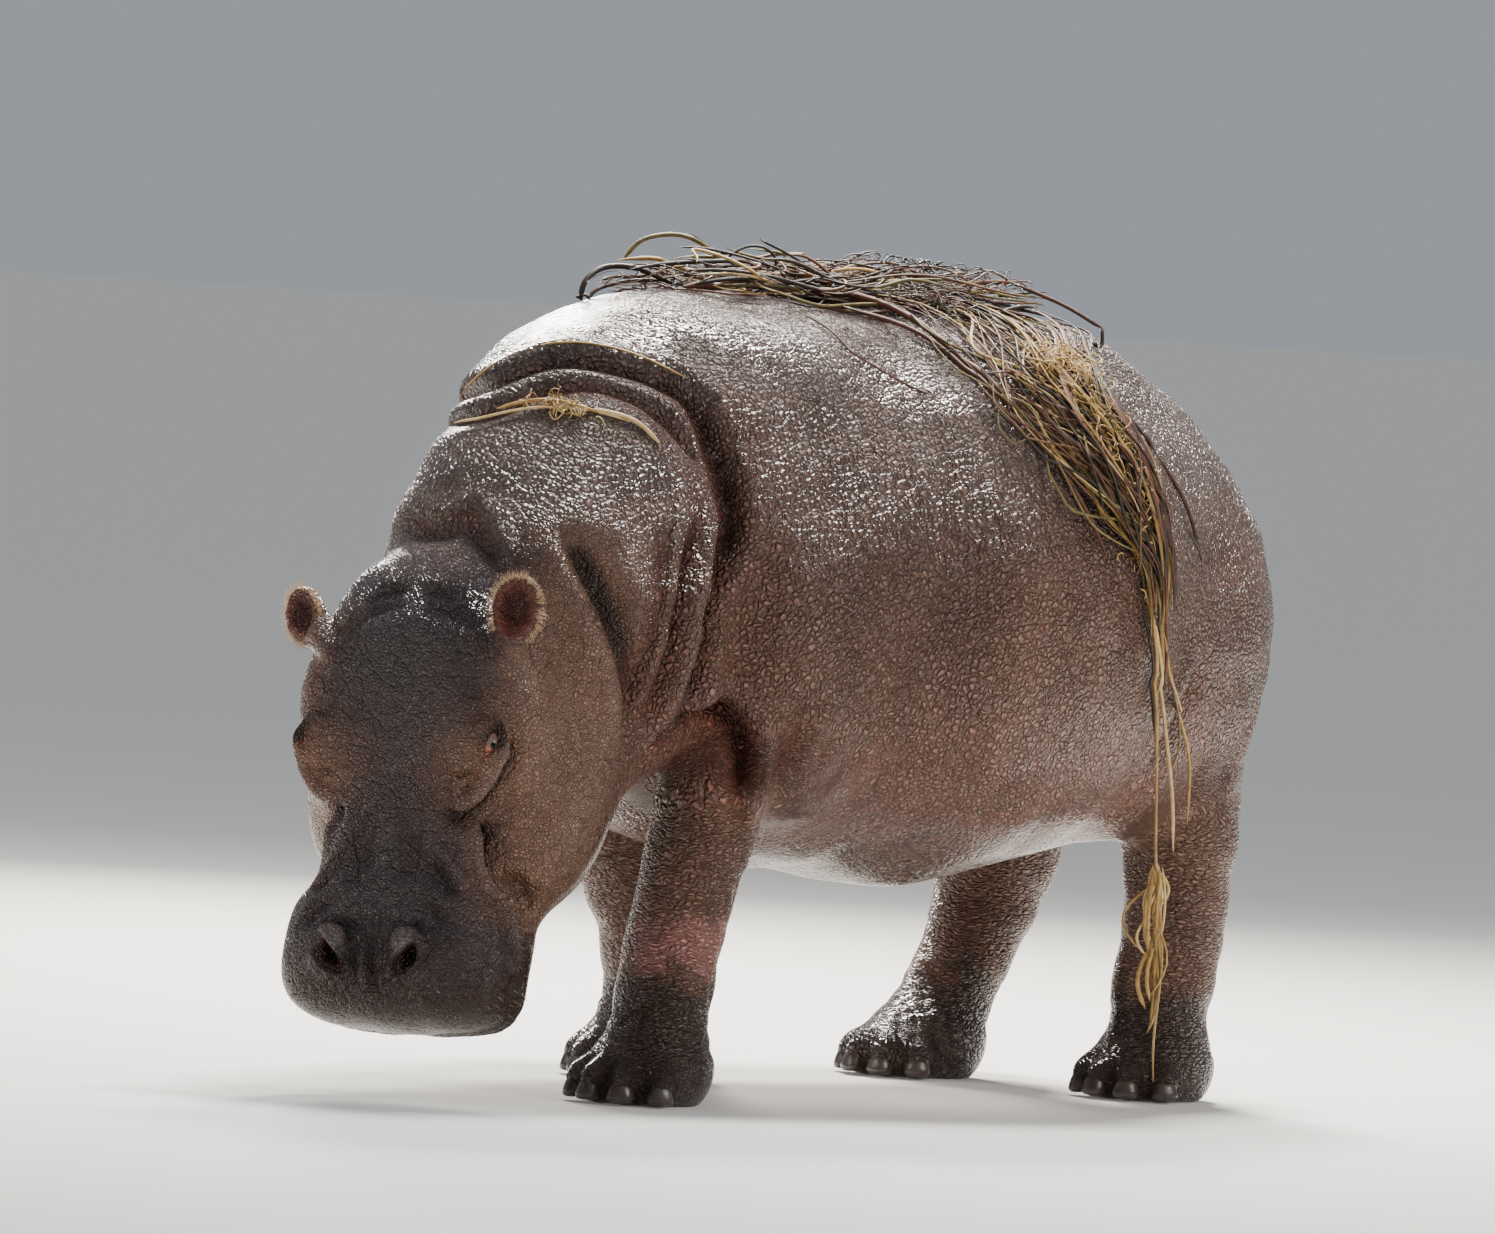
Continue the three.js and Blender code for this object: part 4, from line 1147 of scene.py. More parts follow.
colour = add(tree, "ShaderNodeMix", {"Factor": dark, 6: paint("#060404"), 7: iris},
             data_type="RGBA").outputs[2]
white = add(tree, "ShaderNodeMix", {"Factor": fibres, 6: paint("#7a4f43"), 7: paint("#a87768")},
            data_type="RGBA").outputs[2]
edge = add(tree, "ShaderNodeMapRange", {"Value": ring, "From Min": 0.66, "From Max": 0.74}).outputs[0]
colour = add(tree, "ShaderNodeMix", {"Factor": edge, 6: colour, 7: white}, data_type="RGBA").outputs[2]
colour = add(tree, "ShaderNodeMix", {"Factor": corner, 6: colour, 7: paint("#c27562")},
             data_type="RGBA").outputs[2]
surface = add(tree, "ShaderNodeBsdfPrincipled", {"Base Color": colour, "Roughness": 0.07, "IOR": 1.38})
add(tree, "ShaderNodeOutputMaterial", {"Surface": surface.outputs[0]})

print("eye material:", eye_film.name)

# %% Eyeballs
EYE_RINGS, EYE_SIDES = 40, 56
GAZE = [0.80, 0.10, 0.59]
IRIS_ANGLE, CLEAR_BULGE = 0.70, 0.9             # radians; millimetres


def solid_of_rings(rings, sides):
    """Faces of a closed shape made of a point, rings of points, and a point."""
    last = 1 + rings * sides
    faces = [(0, 1 + (k + 1) % sides, 1 + k) for k in range(sides)]
    for r in range(rings - 1):
        a, b = 1 + r * sides, 1 + (r + 1) * sides
        faces += [(a + k, a + (k + 1) % sides, b + (k + 1) % sides, b + k) for k in range(sides)]
    a = 1 + (rings - 1) * sides
    return faces + [(last, a + k, a + (k + 1) % sides) for k in range(sides)]


def ball_directions(rings, sides):
    """Directions to the points of such a ball, its first point along z."""
    tilt = np.repeat(np.pi * np.arange(1, rings + 1) / (rings + 1), sides)
    turn = np.tile(2 * np.pi * np.arange(sides) / sides, rings)
    middle = np.column_stack([np.sin(tilt) * np.cos(turn), np.sin(tilt) * np.sin(turn), np.cos(tilt)])
    return np.vstack([[0, 0, 1], middle, [0, 0, -1]])


def piece_of(name, points_mm, faces, finish):
    """A closed piece from points in millimetres, with its faces turned outwards."""
    mesh = bpy.data.meshes.new(name)
    mesh.from_pydata(((points_mm - MIDDLE) * MM).tolist(), [], faces)
    work = bmesh.new()
    work.from_mesh(mesh)
    bmesh.ops.recalc_face_normals(work, faces=work.faces[:])
    work.to_mesh(mesh)
    work.free()
    mesh.polygons.foreach_set("use_smooth", [True] * len(mesh.polygons))
    mesh.materials.append(finish)
    made = bpy.data.objects.new(name, mesh)
    bpy.context.scene.collection.objects.link(made)
    return made


for side, name in ((1, "left"), (-1, "right")):
    at, turn = eye_axes(side)
    sight = np.array(GAZE) * [side, 1, 1] @ HEAD_AXES[1]
    sight /= np.linalg.norm(sight)
    flat = np.cross(sight, turn[0])
    flat /= np.linalg.norm(flat)
    ball = ball_directions(EYE_RINGS, EYE_SIDES) @ np.array([flat, np.cross(sight, flat), sight])
    angle = np.arccos(np.clip(ball @ sight, -1, 1))
    bulge = CLEAR_BULGE * np.clip(1 - (angle / IRIS_ANGLE) ** 2, 0, 1)
    eyeball = piece_of(f"eyeball_{name}", at + ball * (EYE["radius"] + bulge)[:, None],
                       solid_of_rings(EYE_RINGS, EYE_SIDES), eye_film)
    lying, rising = ball @ flat, ball @ np.cross(sight, flat)
    keep(eyeball.data, "from_sight", "FLOAT", angle)
    keep(eyeball.data, "from_pupil", "FLOAT", np.where(angle < 1.2, np.hypot(lying / 0.30, rising / 0.17), 9))
    keep(eyeball.data, "corner", "FLOAT", smooth_step(-(ball @ turn[1]), 0.36, 0.66))
    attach(eyeball, "root")
    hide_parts(f"eye_{name}")
print("eyeballs:", 2 * EYE["radius"], "mm across")

# %% [markdown]
# ## Toenails
#
# Each toe ends in a small hoof-like nail of dark horn, a shield that is rounder on top and cut
# straight below. A boxy lump gives it: a ball whose points are pushed out by a power, leaned back
# and narrowed towards the top. Horn grows down from its root, so fine grooves run down its face.

# %% Nail material
# keratin horn, worn smooth by walking and wet: dark brown with a soft shine and fine growth lines
horn, tree = material("worn wet horn")
place = add(tree, "ShaderNodeTexCoord").outputs["Object"]
stretched = add(tree, "ShaderNodeVectorMath", {0: place, 1: (1, 1, 0.12)}, operation="MULTIPLY").outputs[0]
grooves = add(tree, "ShaderNodeTexNoise", {"Vector": stretched, "Scale": 1 / (1.5 * MM), "Detail": 2.0})
clouds = add(tree, "ShaderNodeTexNoise", {"Vector": place, "Scale": 60.0, "Detail": 3.0}).outputs["Fac"]
colour = add(tree, "ShaderNodeMix", {"Factor": clouds, 6: paint("#1c1614"), 7: paint("#5e5049")},
             data_type="RGBA").outputs[2]
bump = add(tree, "ShaderNodeBump", {"Height": grooves.outputs["Fac"], "Distance": 0.5 * MM,
                                    "Strength": 1.0}).outputs[0]
surface = add(tree, "ShaderNodeBsdfPrincipled", {"Base Color": colour, "Roughness": 0.24, "IOR": 1.54,
                                                 "Normal": bump})
add(tree, "ShaderNodeOutputMaterial", {"Surface": surface.outputs[0]})

print("nail material:", horn.name)

# %% Nails
NAIL = dict(size=np.array([22, 17, 19]), height=25, reach=132, lean=0.30, narrowing=0.24)
NAIL_RINGS, NAIL_SIDES, NAIL_BOXINESS = 14, 24, 3.2
for leg_name, leg in LEGS.items():
    nail_points, nail_faces = [], []
    for angle in TOE_SPREAD:
        way = ball_directions(NAIL_RINGS, NAIL_SIDES)
        boxy = way / (np.abs(way) ** NAIL_BOXINESS).sum(1, keepdims=True) ** (1 / NAIL_BOXINESS)
        boxy[:, 0] *= 1 - NAIL["narrowing"] * boxy[:, 2]
        shield = boxy * NAIL["size"]
        shield[:, 1] -= NAIL["lean"] * shield[:, 2]
        shield[:, 1] += 2.0 * np.cos(shield[:, 0] / 9) - 2
        turned = math.radians(angle)
        toe_turn = np.array([[math.cos(turned), -math.sin(turned), 0],
                             [math.sin(turned), math.cos(turned), 0], [0, 0, 1]])
        shield = shield @ toe_turn + [NAIL["reach"] * TOE_SQUEEZE * math.sin(turned),
                                      NAIL["reach"] * math.cos(turned), NAIL["height"]]
        at, turn = foot_axes(leg)
        nail_faces += [tuple(i + len(nail_points) * len(way) for i in f)
                       for f in solid_of_rings(NAIL_RINGS, NAIL_SIDES)]
        nail_points.append(at + shield @ turn)
    nails = piece_of(f"toenails_{leg_name}", np.vstack(nail_points), nail_faces, horn)
    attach(nails, "root")
    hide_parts(*[f"{leg_name}_nail_{n}" for n in (1, 2, 3, 4)])
print("nails:", 4 * len(LEGS))

# %% [markdown]
# ## Reeds and straw
#
# The animal has come out of the water with a swathe of reeds over its back. Each stem is a route of
# a few points drawn between the edges of the swathe, laid on the hide, and lifted off it by a random
# height, as in a heap. The stems are drawn as thin lines that carry a width and a tone at every
# point. A Geometry Nodes tree then turns every line into a stem: it makes a curve of it, sweeps a
# small section along that is scaled by the width, and realizes the result as a mesh.

# %% Stem material
# dead reed: a dry tube of straw with long fibres, waxy enough for a dull shine
straw, tree = material("dry reed straw")
tone = add(tree, "ShaderNodeAttribute", attribute_name="tone").outputs["Fac"]
place = add(tree, "ShaderNodeTexCoord").outputs["Object"]
spots = add(tree, "ShaderNodeTexNoise", {"Vector": place, "Scale": 1 / (14 * MM),
                                         "Detail": 4.0}).outputs["Fac"]
mixed_tone = add(tree, "ShaderNodeMath", {0: spots, 1: 0.34, 2: tone}, operation="MULTIPLY_ADD").outputs[0]
mixed_tone = add(tree, "ShaderNodeMath", {0: mixed_tone, 1: 0.17}, operation="SUBTRACT").outputs[0]
ramp = add(tree, "ShaderNodeValToRGB", {"Fac": mixed_tone})
STRAW_TONES = [(0.0, "#150f0b"), (0.18, "#33241a"), (0.36, "#663c28"), (0.5, "#5f5a30"), (0.64, "#9a7438"),
               (0.82, "#c2a268"), (1.0, "#dccaa0")]
for n, (position, code) in enumerate(STRAW_TONES):
    stop = ramp.color_ramp.elements[n] if n < 2 else ramp.color_ramp.elements.new(position)
    stop.position, stop.color = position, paint(code)
grain = add(tree, "ShaderNodeTexNoise", {"Vector": place, "Scale": 1 / (1.2 * MM), "Detail": 2.0})
bump = add(tree, "ShaderNodeBump", {"Height": grain.outputs["Fac"], "Distance": 0.6 * MM,
                                    "Strength": 1.0}).outputs[0]
surface = add(tree, "ShaderNodeBsdfPrincipled", {"Base Color": ramp.outputs["Color"], "Roughness": 0.5,
                                                 "Normal": bump, "IOR": 1.45})
add(tree, "ShaderNodeOutputMaterial", {"Surface": surface.outputs[0]})

print("stem material:", straw.name, "tones:", len(STRAW_TONES))


# %% The tree that makes stems
def stem_tree():
    """Lines with width and tone become closed stems with a many-sided, flattened section."""
    made = bpy.data.node_groups.new("stems", "GeometryNodeTree")
    made.interface.new_socket("Geometry", in_out="INPUT", socket_type="NodeSocketGeometry")
    for name, kind in (("Sides", "NodeSocketInt"), ("Flatness", "NodeSocketFloat"),
                       ("Finish", "NodeSocketMaterial")):
        made.interface.new_socket(name, in_out="INPUT", socket_type=kind)
    made.interface.new_socket("Geometry", in_out="OUTPUT", socket_type="NodeSocketGeometry")
    given = add(made, "NodeGroupInput").outputs
    width = add(made, "GeometryNodeInputNamedAttribute", {"Name": "width"}, data_type="FLOAT")
    curve = add(made, "GeometryNodeMeshToCurve", {"Mesh": given["Geometry"]})
    section = add(made, "GeometryNodeCurvePrimitiveCircle", {"Resolution": given["Sides"], "Radius": 1.0})
    squash = add(made, "ShaderNodeCombineXYZ", {"X": 1.0, "Y": given["Flatness"], "Z": 1.0})
    flat = add(made, "GeometryNodeTransform", {"Geometry": section.outputs[0], "Scale": squash.outputs[0]})
    swept = add(made, "GeometryNodeCurveToMesh", {"Curve": curve.outputs[0], "Profile Curve": flat.outputs[0],
                                                  "Scale": width.outputs[0], "Fill Caps": True})
    real = add(made, "GeometryNodeRealizeInstances", {"Geometry": swept.outputs[0]})
    done = add(made, "GeometryNodeSetMaterial", {"Geometry": real.outputs[0], "Material": given["Finish"]})
    add(made, "NodeGroupOutput", {"Geometry": done.outputs[0]})
    return made


stems_tree = stem_tree()


def made_by(tree, mesh, name, **inputs):
    """Runs a tree on a mesh and keeps the result as a plain object."""
    draft = bpy.data.objects.new(name + "_draft", mesh)
    bpy.context.scene.collection.objects.link(draft)
    modifier = draft.modifiers.new("nodes", "NODES")
    modifier.node_group = tree
    for socket in tree.interface.items_tree:
        if socket.in_out == "INPUT" and socket.name in inputs:
            modifier[socket.identifier] = inputs[socket.name]
    seen = draft.evaluated_get(bpy.context.evaluated_depsgraph_get())
    result = bpy.data.meshes.new_from_object(seen)
    draft.modifiers.clear()
    bpy.data.objects.remove(draft)
    result.name = name
    made = bpy.data.objects.new(name, result)
    bpy.context.scene.collection.objects.link(made)
    return made


def stems(name, lines, sides=5, flatness=1.0):
    """A piece of stems from lines of (points in mm, lift off the hide, width at each point, tone)."""
    lengths = [len(line) for line, *_ in lines]
    lift, width, tone_of = (np.concatenate([np.broadcast_to(stem[k], n) for stem, n in zip(lines, lengths)])
                            for k in (1, 2, 3))
    at = laid(np.vstack([line for line, *_ in lines]), lift)
    ends = np.cumsum(lengths)
    pairs = np.delete(np.column_stack([np.arange(len(at)), np.arange(len(at)) + 1]), ends - 1, axis=0)
    mesh = bpy.data.meshes.new(name)
    mesh.from_pydata(((at - MIDDLE) * MM).tolist(), pairs.tolist(), [])
    keep(mesh, "width", "FLOAT", width * MM / 2)
    keep(mesh, "tone", "FLOAT", tone_of)
    made = made_by(stems_tree, mesh, name, Sides=sides, Flatness=flatness, Finish=straw)
    made.data.polygons.foreach_set("use_smooth", [True] * len(made.data.polygons))
    print(name, len(lines), "stems", len(made.data.polygons), "faces")
    return made


# %% Where the stems lie
LOWER_EDGE = smooth_line([[-40, -260, 1400], [128, -108, 1391], [300, -165, 1320], [406, -166, 1242],
                          [484, -119, 1156], [539, -67, 1045], [556, -7, 969], [561, 31, 887],
                          [559, 51, 818]], 6)
UPPER_EDGE = smooth_line([[-60, 140, 1400], [84, 206, 1387], [200, 270, 1350], [296, 194, 1310],
                          [392, 153, 1248], [459, 189, 1160], [508, 201, 1055], [538, 187, 934],
                          [542, 177, 845]], 6)
RIDGE_FRONT, RIDGE_REAR = np.array([-100, -590, 1390]), np.array([40, 330, 1390])


def laid(p, lift):
    """Points laid on the hide and lifted off it. A point without a lift hangs free, outside the hide."""
    free = np.isnan(lift)
    away = slope(body, p)[0]
    chosen = np.where(free, away < 5, np.abs(away) < 75)
    down = settle(body, p[chosen], 5, 60)
    out = slope(body, down)[1]
    made = p.copy()
    made[chosen] = down + out * np.where(free, 12, lift)[chosen, None]
    return made


def unit(ways):
    return ways / np.linalg.norm(ways, axis=1, keepdims=True)


def tapered(count, width, tip=0.25):
    """Widths along a stem: full for most of it, thin at both ends."""
    t = np.linspace(0, 1, count)
    return width * np.clip(np.minimum(t, 1 - t) * 7 + tip, 0, 1)


def wiggle(draw, count, size):
    """A smooth random sideways course."""
    t = np.linspace(0, 1, count)
    return sum(draw.normal() * size / n * np.sin(n * np.pi * t + draw.uniform(0, 6)) for n in (1, 2, 3))


def down_the_flank(draw, where, first, last):
    """A route between the edges of the swathe: `where` is 0 at the lower edge, 1 at the upper."""
    count = 22
    places = np.linspace(first, last, count) * (len(LOWER_EDGE) - 1)
    index = np.clip(places.astype(int), 0, len(LOWER_EDGE) - 2)
    share = (places - index)[:, None]
    low = LOWER_EDGE[index] * (1 - share) + LOWER_EDGE[index + 1] * share
    high = UPPER_EDGE[index] * (1 - share) + UPPER_EDGE[index + 1] * share
    narrowing = smooth_step(np.linspace(first, last, count), 0.35, 1.0)
    where = where + (0.62 - where) * 0.75 * narrowing
    across = np.clip(where + wiggle(draw, count, 0.16) * (1 - 0.6 * narrowing), -0.1, 1.15)[:, None]
    return low * (1 - across) + high * across


def over_the_ridge(draw, first, last, offset):
    """A route along the backbone, offset to the left, sagging with the back's own line."""
    count = 20
    t = np.linspace(first, last, count)[:, None]
    line = RIDGE_FRONT * (1 - t) + RIDGE_REAR * t
    line[:, 0] += offset + wiggle(draw, count, 34)
    return line


draw = np.random.default_rng(21)
RUST, DARK, GREEN, PALE, GOLD = 0.36, 0.12, 0.5, 0.86, 0.7
TONES = [RUST, DARK, GREEN, PALE, GOLD]
on_back, on_flank, leaves = [], [], []
for n in range(150):
    first = draw.uniform(-0.02, 0.62)
    last = min(first + draw.uniform(0.14, 0.5), 1.02)
    lift = np.clip(6 + 66 * draw.beta(1.2, 1.4) + 16 * wiggle(draw, 20, 1.0), 5, 90)
    line = over_the_ridge(draw, first, last, draw.uniform(-60, 135))
    on_back.append((line, lift, tapered(20, 2.5 + 7 * draw.beta(1.0, 1.6)),
                    draw.choice(TONES, p=[0.40, 0.36, 0.12, 0.06, 0.06]) + draw.uniform(-0.05, 0.05)))
# partly painted shadow: near-black stems are real in the heap, and on the flank they get the largest share so
# that they also stand for the shade between the swathe and the hide
for n in range(170):
    first = draw.uniform(0.0, 0.55)
    last = min(first + draw.uniform(0.15, 0.9), draw.uniform(0.7, 1.0))
    where = draw.beta(1.1, 1.1)
    lift = draw.uniform(4, 36) * (1 - 0.3 * where) + 7 * np.abs(wiggle(draw, 22, 1.0))
    on_flank.append((down_the_flank(draw, where, first, last), lift,
                     tapered(22, 1.6 + 6.5 * draw.beta(0.9, 2.2)),
                     draw.choice(TONES, p=[0.28, 0.40, 0.10, 0.10, 0.12]) + draw.uniform(-0.06, 0.06)))
for n in range(14):
    first, last = draw.uniform(0.1, 0.45), draw.uniform(0.7, 1.0)
    leaves.append((down_the_flank(draw, draw.uniform(0.0, 1.0), first, last), draw.uniform(16, 36),
                   tapered(22, draw.uniform(7, 14), 0.05), draw.choice([RUST, 0.58, 0.2])))


def clump(draw, middle, size, count, curl, tone_of, lift, width=2.2):
    """A tangle of rootlets about a place on the hide, each an arc of a small circle."""
    made = []
    for _ in range(count):
        at = middle + draw.normal(size=3) * size
        along = draw.normal(size=3)
        across = np.cross(along, draw.normal(size=3))
        turn = np.linspace(0, draw.uniform(1.5, 4.5), 9)[:, None]
        radius = curl * draw.uniform(0.5, 1.3)
        arc = radius * (np.cos(turn) * unit(along[None]) + np.sin(turn) * unit(across[None]))
        made.append((at + arc, draw.uniform(3, lift) + 6 * np.sin(2 * turn[:, 0]),
                     tapered(9, width * draw.uniform(0.6, 1.5)), tone_of + draw.uniform(-0.12, 0.12)))
    return made


CLUMPS = [                                      # middle, spread, count, curl, tone, lift
    (on_back, [30, 40, 1420], [34, 66, 0], 150, 34, DARK, 84),
    (on_back, [60, 170, 1408], [30, 56, 0], 110, 30, 0.24, 78),
    (on_back, [-70, -440, 1400], [26, 90, 0], 90, 36, 0.3, 50),
    (on_back, [0, -200, 1400], [30, 120, 0], 90, 36, 0.22, 66),
    (on_flank, [350, 60, 1292], [30, 40, 24], 190, 24, 0.78, 52),
    (on_flank, [430, 70, 1205], [22, 30, 40], 110, 26, 0.62, 42),
    (on_flank, [500, 90, 1070], [12, 26, 60], 80, 24, 0.66, 34),
    (on_flank, [140, -60, 1400], [40, 60, 0], 90, 34, 0.16, 60),
]
for heap, middle, spread, *rest in CLUMPS:
    heap.extend(clump(draw, np.array(middle), spread, *rest))
print("stems on the back:", len(on_back), "on the flank:", len(on_flank))

# %% Stems that stand out or hang free
FREE = [
    ([[-50, -360, 1440], [-70, -400, 1490], [-100, -450, 1512], [-140, -500, 1500],
      [-160, -530, 1462]], 9, GREEN),
    ([[-40, -300, 1440], [-66, -370, 1478], [-92, -425, 1515]], 5, DARK),
    ([[20, -150, 1430], [-10, -230, 1480], [-40, -300, 1512]], 5, DARK),
    ([[-60, -500, 1425], [-100, -560, 1450], [-140, -600, 1448], [-150, -640, 1420],
      [-150, -650, 1370]], 11, DARK),
    ([[-40, -420, 1420], [-90, -540, 1430], [-130, -620, 1412], [-140, -650, 1380]], 8, 0.2),
    ([[60, 60, 1440], [75, 200, 1455], [80, 262, 1456]], 9, RUST),
    ([[80, 260, 1457], [150, 330, 1422], [210, 372, 1384]], 8, 0.24),
    ([[210, 372, 1384], [214, 366, 1352], [206, 340, 1348]], 7, DARK),
    ([[10, -560, 1400], [0, -400, 1440], [0, -200, 1452], [20, -40, 1450]], 14, RUST),
    ([[60, -330, 1415], [90, -200, 1425], [190, -150, 1392], [320, -150, 1322],
      [440, -120, 1212]], 12, RUST),
    ([[120, -260, 1405], [250, -180, 1362], [390, -150, 1264], [490, -90, 1130], [545, -20, 990]], 9, 0.3),
    ([[330, 130, 1300], [430, 240, 1190], [480, 300, 1090], [505, 330, 985]], 7, 0.2),
    ([[505, 330, 985], [525, 300, 1000], [535, 250, 1040]], 7, DARK),
    ([[390, -120, 1268], [450, 0, 1190], [470, 120, 1165], [478, 230, 1140]], 6, PALE),
    ([[395, -150, 1240], [430, -190, 1195], [450, -170, 1165], [440, -110, 1190]], 4, GREEN),
]
HANGS = np.nan                                  # no lift: the stem keeps its own course


def drawn_stems(routes, steps, lift_of):
    """Stems along given routes, each a route, a width and a tone."""
    made = []
    for route, width, tone_of in routes:
        line = smooth_line(route, steps)
        made.append((line, lift_of(width), tapered(len(line), width, 0.3), tone_of))
    return made


on_back += drawn_stems(FREE, 5, lambda width: HANGS)
HANGING = [
    ([[540, 130, 930], [545, 150, 860], [540, 175, 790], [540, 190, 666], [550, 197, 441], [564, 205, 330],
      [569, 206, 258], [567, 199, 136], [570, 201, 60]], 5, GOLD),
    ([[545, 110, 900], [545, 150, 830], [540, 190, 760], [548, 212, 650], [558, 222, 560],
      [560, 230, 470]], 7, PALE),
    ([[540, 160, 860], [530, 205, 790], [500, 270, 745], [470, 340, 700], [450, 398, 620],
      [452, 400, 515]], 6, GOLD),
    ([[530, 190, 820], [500, 240, 760], [450, 330, 700], [410, 380, 650], [400, 400, 570]], 4, GREEN),
    ([[548, 90, 930], [548, 140, 830], [545, 175, 730], [542, 188, 640]], 9, GOLD),
    ([[550, 80, 900], [550, 130, 820], [548, 160, 740], [552, 166, 680]], 6, DARK),
    ([[545, 120, 960], [546, 150, 860], [538, 180, 780]], 9, 0.6),
    ([[542, 150, 940], [544, 175, 850], [534, 195, 770]], 7, RUST),
]
hanging = drawn_stems(HANGING, 5, lambda width: HANGS)
for n in range(30):
    top = np.array([552 + draw.normal() * 6, 199 + draw.normal() * 8, draw.uniform(290, 470)])
    t = np.linspace(0, 1, 8)[:, None]
    curl = draw.normal(size=3) * [14, 18, 0]
    line = top + t * [0, 0, -draw.uniform(60, 150)] + np.sin(t * 3.0) * curl
    hanging.append((line, HANGS, tapered(8, draw.uniform(4, 9), 0.1), draw.choice([GOLD, PALE, 0.6])))
STRAWS = [
    ([[-30, -1100, 1165], [40, -1110, 1180], [120, -1075, 1200], [190, -1010, 1195],
      [235, -960, 1180]], 5, PALE),
    ([[60, -1090, 1190], [130, -1050, 1210], [200, -1000, 1190]], 7, GOLD),
    ([[190, -1000, 1190], [240, -955, 1185], [275, -925, 1150]], 8, PALE),
    ([[-120, -960, 1200], [-60, -965, 1245], [40, -940, 1300], [150, -880, 1300],
      [230, -800, 1265]], 4, GOLD),
    ([[150, -420, 1380], [205, -400, 1355], [262, -400, 1322], [272, -392, 1318], [340, -320, 1290],
      [395, -250, 1255]], 4, 0.28),
]
straws = drawn_stems(STRAWS, 6, lambda width: width * 0.8)
straws += clump(draw, np.array([150, -1045, 1210]), [26, 14, 4], 46, 14, 0.8, 9, 1.8)

back_reeds = stems("reeds_over_the_back", on_back)
flank_reeds = stems("reeds_down_the_flank", on_flank)
hanging_reeds = stems("reeds_hanging_free", hanging)
leaf_reeds = stems("reed_leaves", leaves, sides=6, flatness=0.16)
stray_straws = stems("stray_straws", straws)
for reeds, node in ((back_reeds, "reeds_back"), (flank_reeds, "reeds_flank"),
                    (hanging_reeds, "reeds_hanging"), (leaf_reeds, None), (stray_straws, None)):
    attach(reeds, "root")
    if node:
        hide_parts(node)

# %% [markdown]
# ## Bristles
#
# There is no coat, only bristles: a bright fringe round the edge of each ear, stiff short ones on the
# lips, and a flat brush at the end of the tail. Particle hair would be lost when the model leaves
# Blender, so each bristle is a thin cone of real mesh. A Geometry Nodes tree stands one cone on
# every root, turned along that root's own direction and scaled by its own length.

# %% Bristle material
# keratin hair: opaque, from dark to pale by its tone, with a soft shine
bristle, tree = material("keratin bristle")
tone = add(tree, "ShaderNodeAttribute", attribute_name="tone").outputs["Fac"]
colour = add(tree, "ShaderNodeMix", {"Factor": tone, 6: paint("#2b201b"), 7: paint("#d9b48c")},
             data_type="RGBA").outputs[2]
surface = add(tree, "ShaderNodeBsdfPrincipled", {"Base Color": colour, "Roughness": 0.42, "IOR": 1.55})
add(tree, "ShaderNodeOutputMaterial", {"Surface": surface.outputs[0]})

print("bristle material:", bristle.name)

# %% The tree that sets bristles
BRISTLE_SIDES, PATCH = 4, 0.003                 # PATCH is a bristle's width on its map


def bristle_tree():
    """One cone on every point, along its `way`, as long as its `long`."""
    made = bpy.data.node_groups.new("bristles", "GeometryNodeTree")
    made.interface.new_socket("Geometry", in_out="INPUT", socket_type="NodeSocketGeometry")
    for name, kind in (("Thickness", "NodeSocketFloat"), ("Finish", "NodeSocketMaterial")):
        made.interface.new_socket(name, in_out="INPUT", socket_type=kind)
    made.interface.new_socket("Geometry", in_out="OUTPUT", socket_type="NodeSocketGeometry")
    given = add(made, "NodeGroupInput").outputs
    way = add(made, "GeometryNodeInputNamedAttribute", {"Name": "way"}, data_type="FLOAT_VECTOR").outputs[0]
    long = add(made, "GeometryNodeInputNamedAttribute", {"Name": "long"}, data_type="FLOAT").outputs[0]
    cone = add(made, "GeometryNodeMeshCone", {"Vertices": BRISTLE_SIDES, "Radius Top": 0.12,
                                              "Radius Bottom": 1.0, "Depth": 1.0})
    turn = add(made, "FunctionNodeAlignRotationToVector", {"Vector": way}, axis="Z")
    size = add(made, "ShaderNodeCombineXYZ", {"X": given["Thickness"], "Y": given["Thickness"], "Z": long})
    stood = add(made, "GeometryNodeInstanceOnPoints", {"Points": given["Geometry"],
                                                       "Instance": cone.outputs["Mesh"],
                                                       "Rotation": turn.outputs[0], "Scale": size.outputs[0]})
    real = add(made, "GeometryNodeRealizeInstances", {"Geometry": stood.outputs[0]})
    done = add(made, "GeometryNodeSetMaterial", {"Geometry": real.outputs[0], "Material": given["Finish"]})
    add(made, "NodeGroupOutput", {"Geometry": done.outputs[0]})
    return made


bristles_tree = bristle_tree()


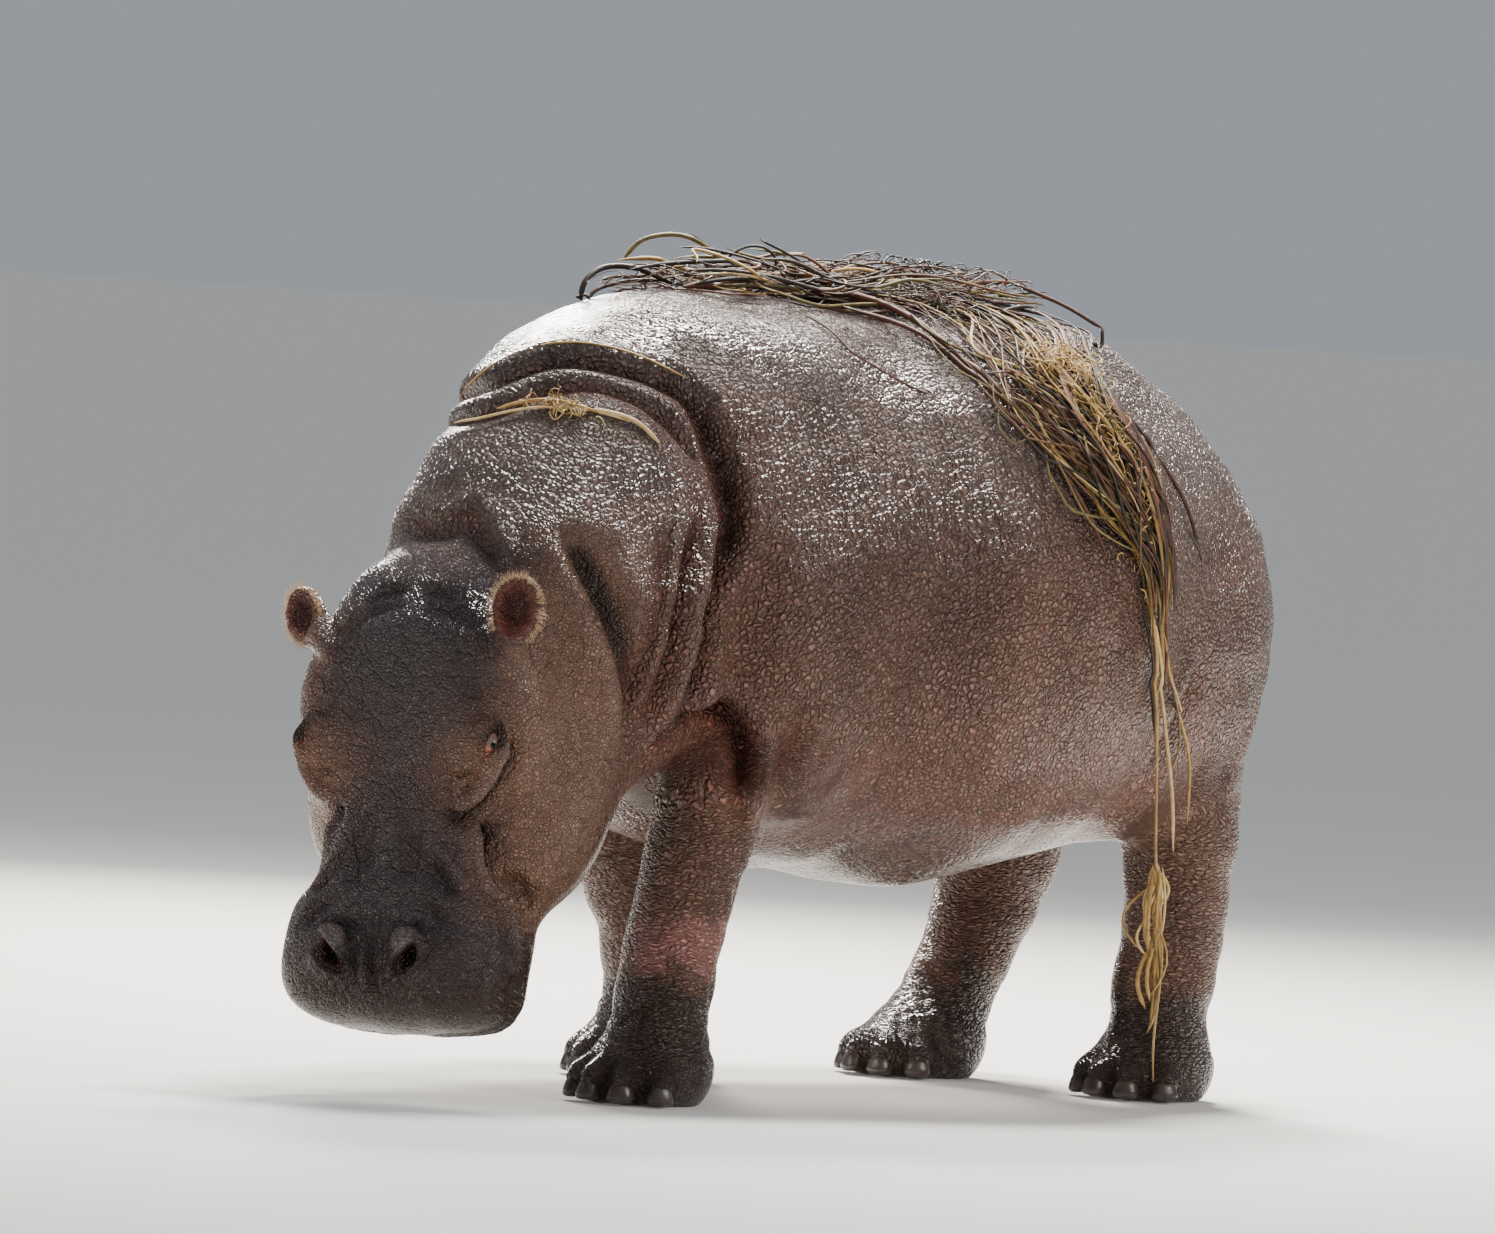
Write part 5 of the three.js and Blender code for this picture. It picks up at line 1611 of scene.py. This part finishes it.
def bristles(name, roots, ways, lengths, thickness, tones, unwrap):
    """A piece of bristles. `unwrap` gives each root's place on a flat map of the skin there."""
    mesh = bpy.data.meshes.new(name)
    mesh.from_pydata(((roots - MIDDLE) * MM).tolist(), [], [])
    way = mesh.attributes.new("way", "FLOAT_VECTOR", "POINT")
    way.data.foreach_set("vector", ways.ravel())
    keep(mesh, "long", "FLOAT", lengths * MM)
    keep(mesh, "tone", "FLOAT", tones)
    keep(mesh, "root_u", "FLOAT", unwrap[:, 0])
    keep(mesh, "root_v", "FLOAT", unwrap[:, 1])
    made = made_by(bristles_tree, mesh, name, Thickness=thickness * MM, Finish=bristle)
    flat = made.data
    count = len(flat.vertices)
    u, v = np.empty(count), np.empty(count)
    flat.attributes["root_u"].data.foreach_get("value", u)
    flat.attributes["root_v"].data.foreach_get("value", v)
    around = np.arange(count) % (count // len(roots))
    corner = np.empty(len(flat.loops), np.int32)
    flat.loops.foreach_get("vertex_index", corner)
    patch = PATCH * np.column_stack([(around % BRISTLE_SIDES) / BRISTLE_SIDES, around >= BRISTLE_SIDES])
    while flat.uv_layers:
        flat.uv_layers.remove(flat.uv_layers[0])
    flat.uv_layers.new(name="OFBake").data.foreach_set(
        "uv", (np.column_stack([u, v]) + patch)[corner].ravel())
    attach(made, "root")
    print(name, len(roots), "bristles", len(flat.polygons), "faces")
    return made


# %% Fringe of the ears
FRINGE_HAIRS = 420                              # on each ear
PAST_HALF = 0.9                                 # how far the fringe passes half a turn, in radians
draw = np.random.default_rng(5)
fringe = {key: [] for key in ("roots", "ways", "unwrap")}
for number, shape in enumerate(EARS.values()):
    at, turn = ear_axes(**shape)
    to_body = turn @ HEAD_AXES[1]
    angle = draw.uniform(-PAST_HALF, math.pi + PAST_HALF, FRINGE_HAIRS)
    rim = np.column_stack([47 * np.cos(angle), 83 + 62 * np.sin(angle),
                           11 + draw.normal(size=FRINGE_HAIRS) * 4])
    way = np.column_stack([np.cos(angle), 1.1 * np.sin(angle), 0.25 + 0.3 * draw.normal(size=FRINGE_HAIRS)])
    way += draw.normal(size=way.shape) * 0.28
    fringe["roots"].append(head_point(at + rim @ turn))
    fringe["ways"].append(unit(way) @ to_body)
    round_rim = (angle + PAST_HALF) / (math.pi + 2 * PAST_HALF)
    fringe["unwrap"].append(np.column_stack([0.02 + 0.45 * number + 0.42 * round_rim, 0.3 + rim[:, 2] / 60]))
roots, ways, flat_places = (np.vstack(fringe[key]) for key in ("roots", "ways", "unwrap"))
roots = settle(smooth_form, roots, 3, 8.0)
bristles("ear_fringe", roots, ways, draw.uniform(8, 21, len(roots)), 0.38, draw.uniform(0.6, 1.0, len(roots)),
         flat_places)

# %% Bristles of the lips and the brush of the tail
on_lips = np.flatnonzero((head_share > 0.9) & (local[:, 1] > 520) & (slit_depth < 2))
chance = np.exp(-((local[on_lips, 2] + 190) / 110) ** 2)
picked = on_lips[draw.random(len(on_lips)) < 0.10 * chance]
ways = unit(outward[picked] + [0, 0, -0.6] + draw.normal(size=(len(picked), 3)) * 0.3)
angle = np.arctan2(local[picked, 0], local[picked, 2] + 200)
bristles("lip_bristles", points[picked], ways, draw.uniform(7, 17, len(picked)), 0.5,
         draw.uniform(0.1, 0.8, len(picked)),
         np.column_stack([0.05 + 0.9 * (angle + np.pi) / (2 * np.pi),
                          0.05 + 0.9 * (local[picked, 1] - 500) / 250]))

TAIL_HAIRS = 240
along = draw.uniform(0, 1, TAIL_HAIRS)
edge = np.where(draw.random(TAIL_HAIRS) < 0.5, -1, 1)
roots = np.column_stack([draw.normal(size=TAIL_HAIRS) * 3, 893 + edge * (20 - 9 * along), 690 - 150 * along])
roots = settle(smooth_form, roots, 4, 12.0)
ways = unit(np.column_stack([draw.normal(size=TAIL_HAIRS) * 0.25, edge * 0.7,
                             -1 - draw.uniform(0, 0.5, TAIL_HAIRS)]))
bristles("tail_brush", roots, ways, draw.uniform(16, 42, TAIL_HAIRS), 0.5,
         draw.uniform(0.0, 0.3, TAIL_HAIRS),
         np.column_stack([0.3 + 0.2 * edge, 0.05 + 0.9 * along]))
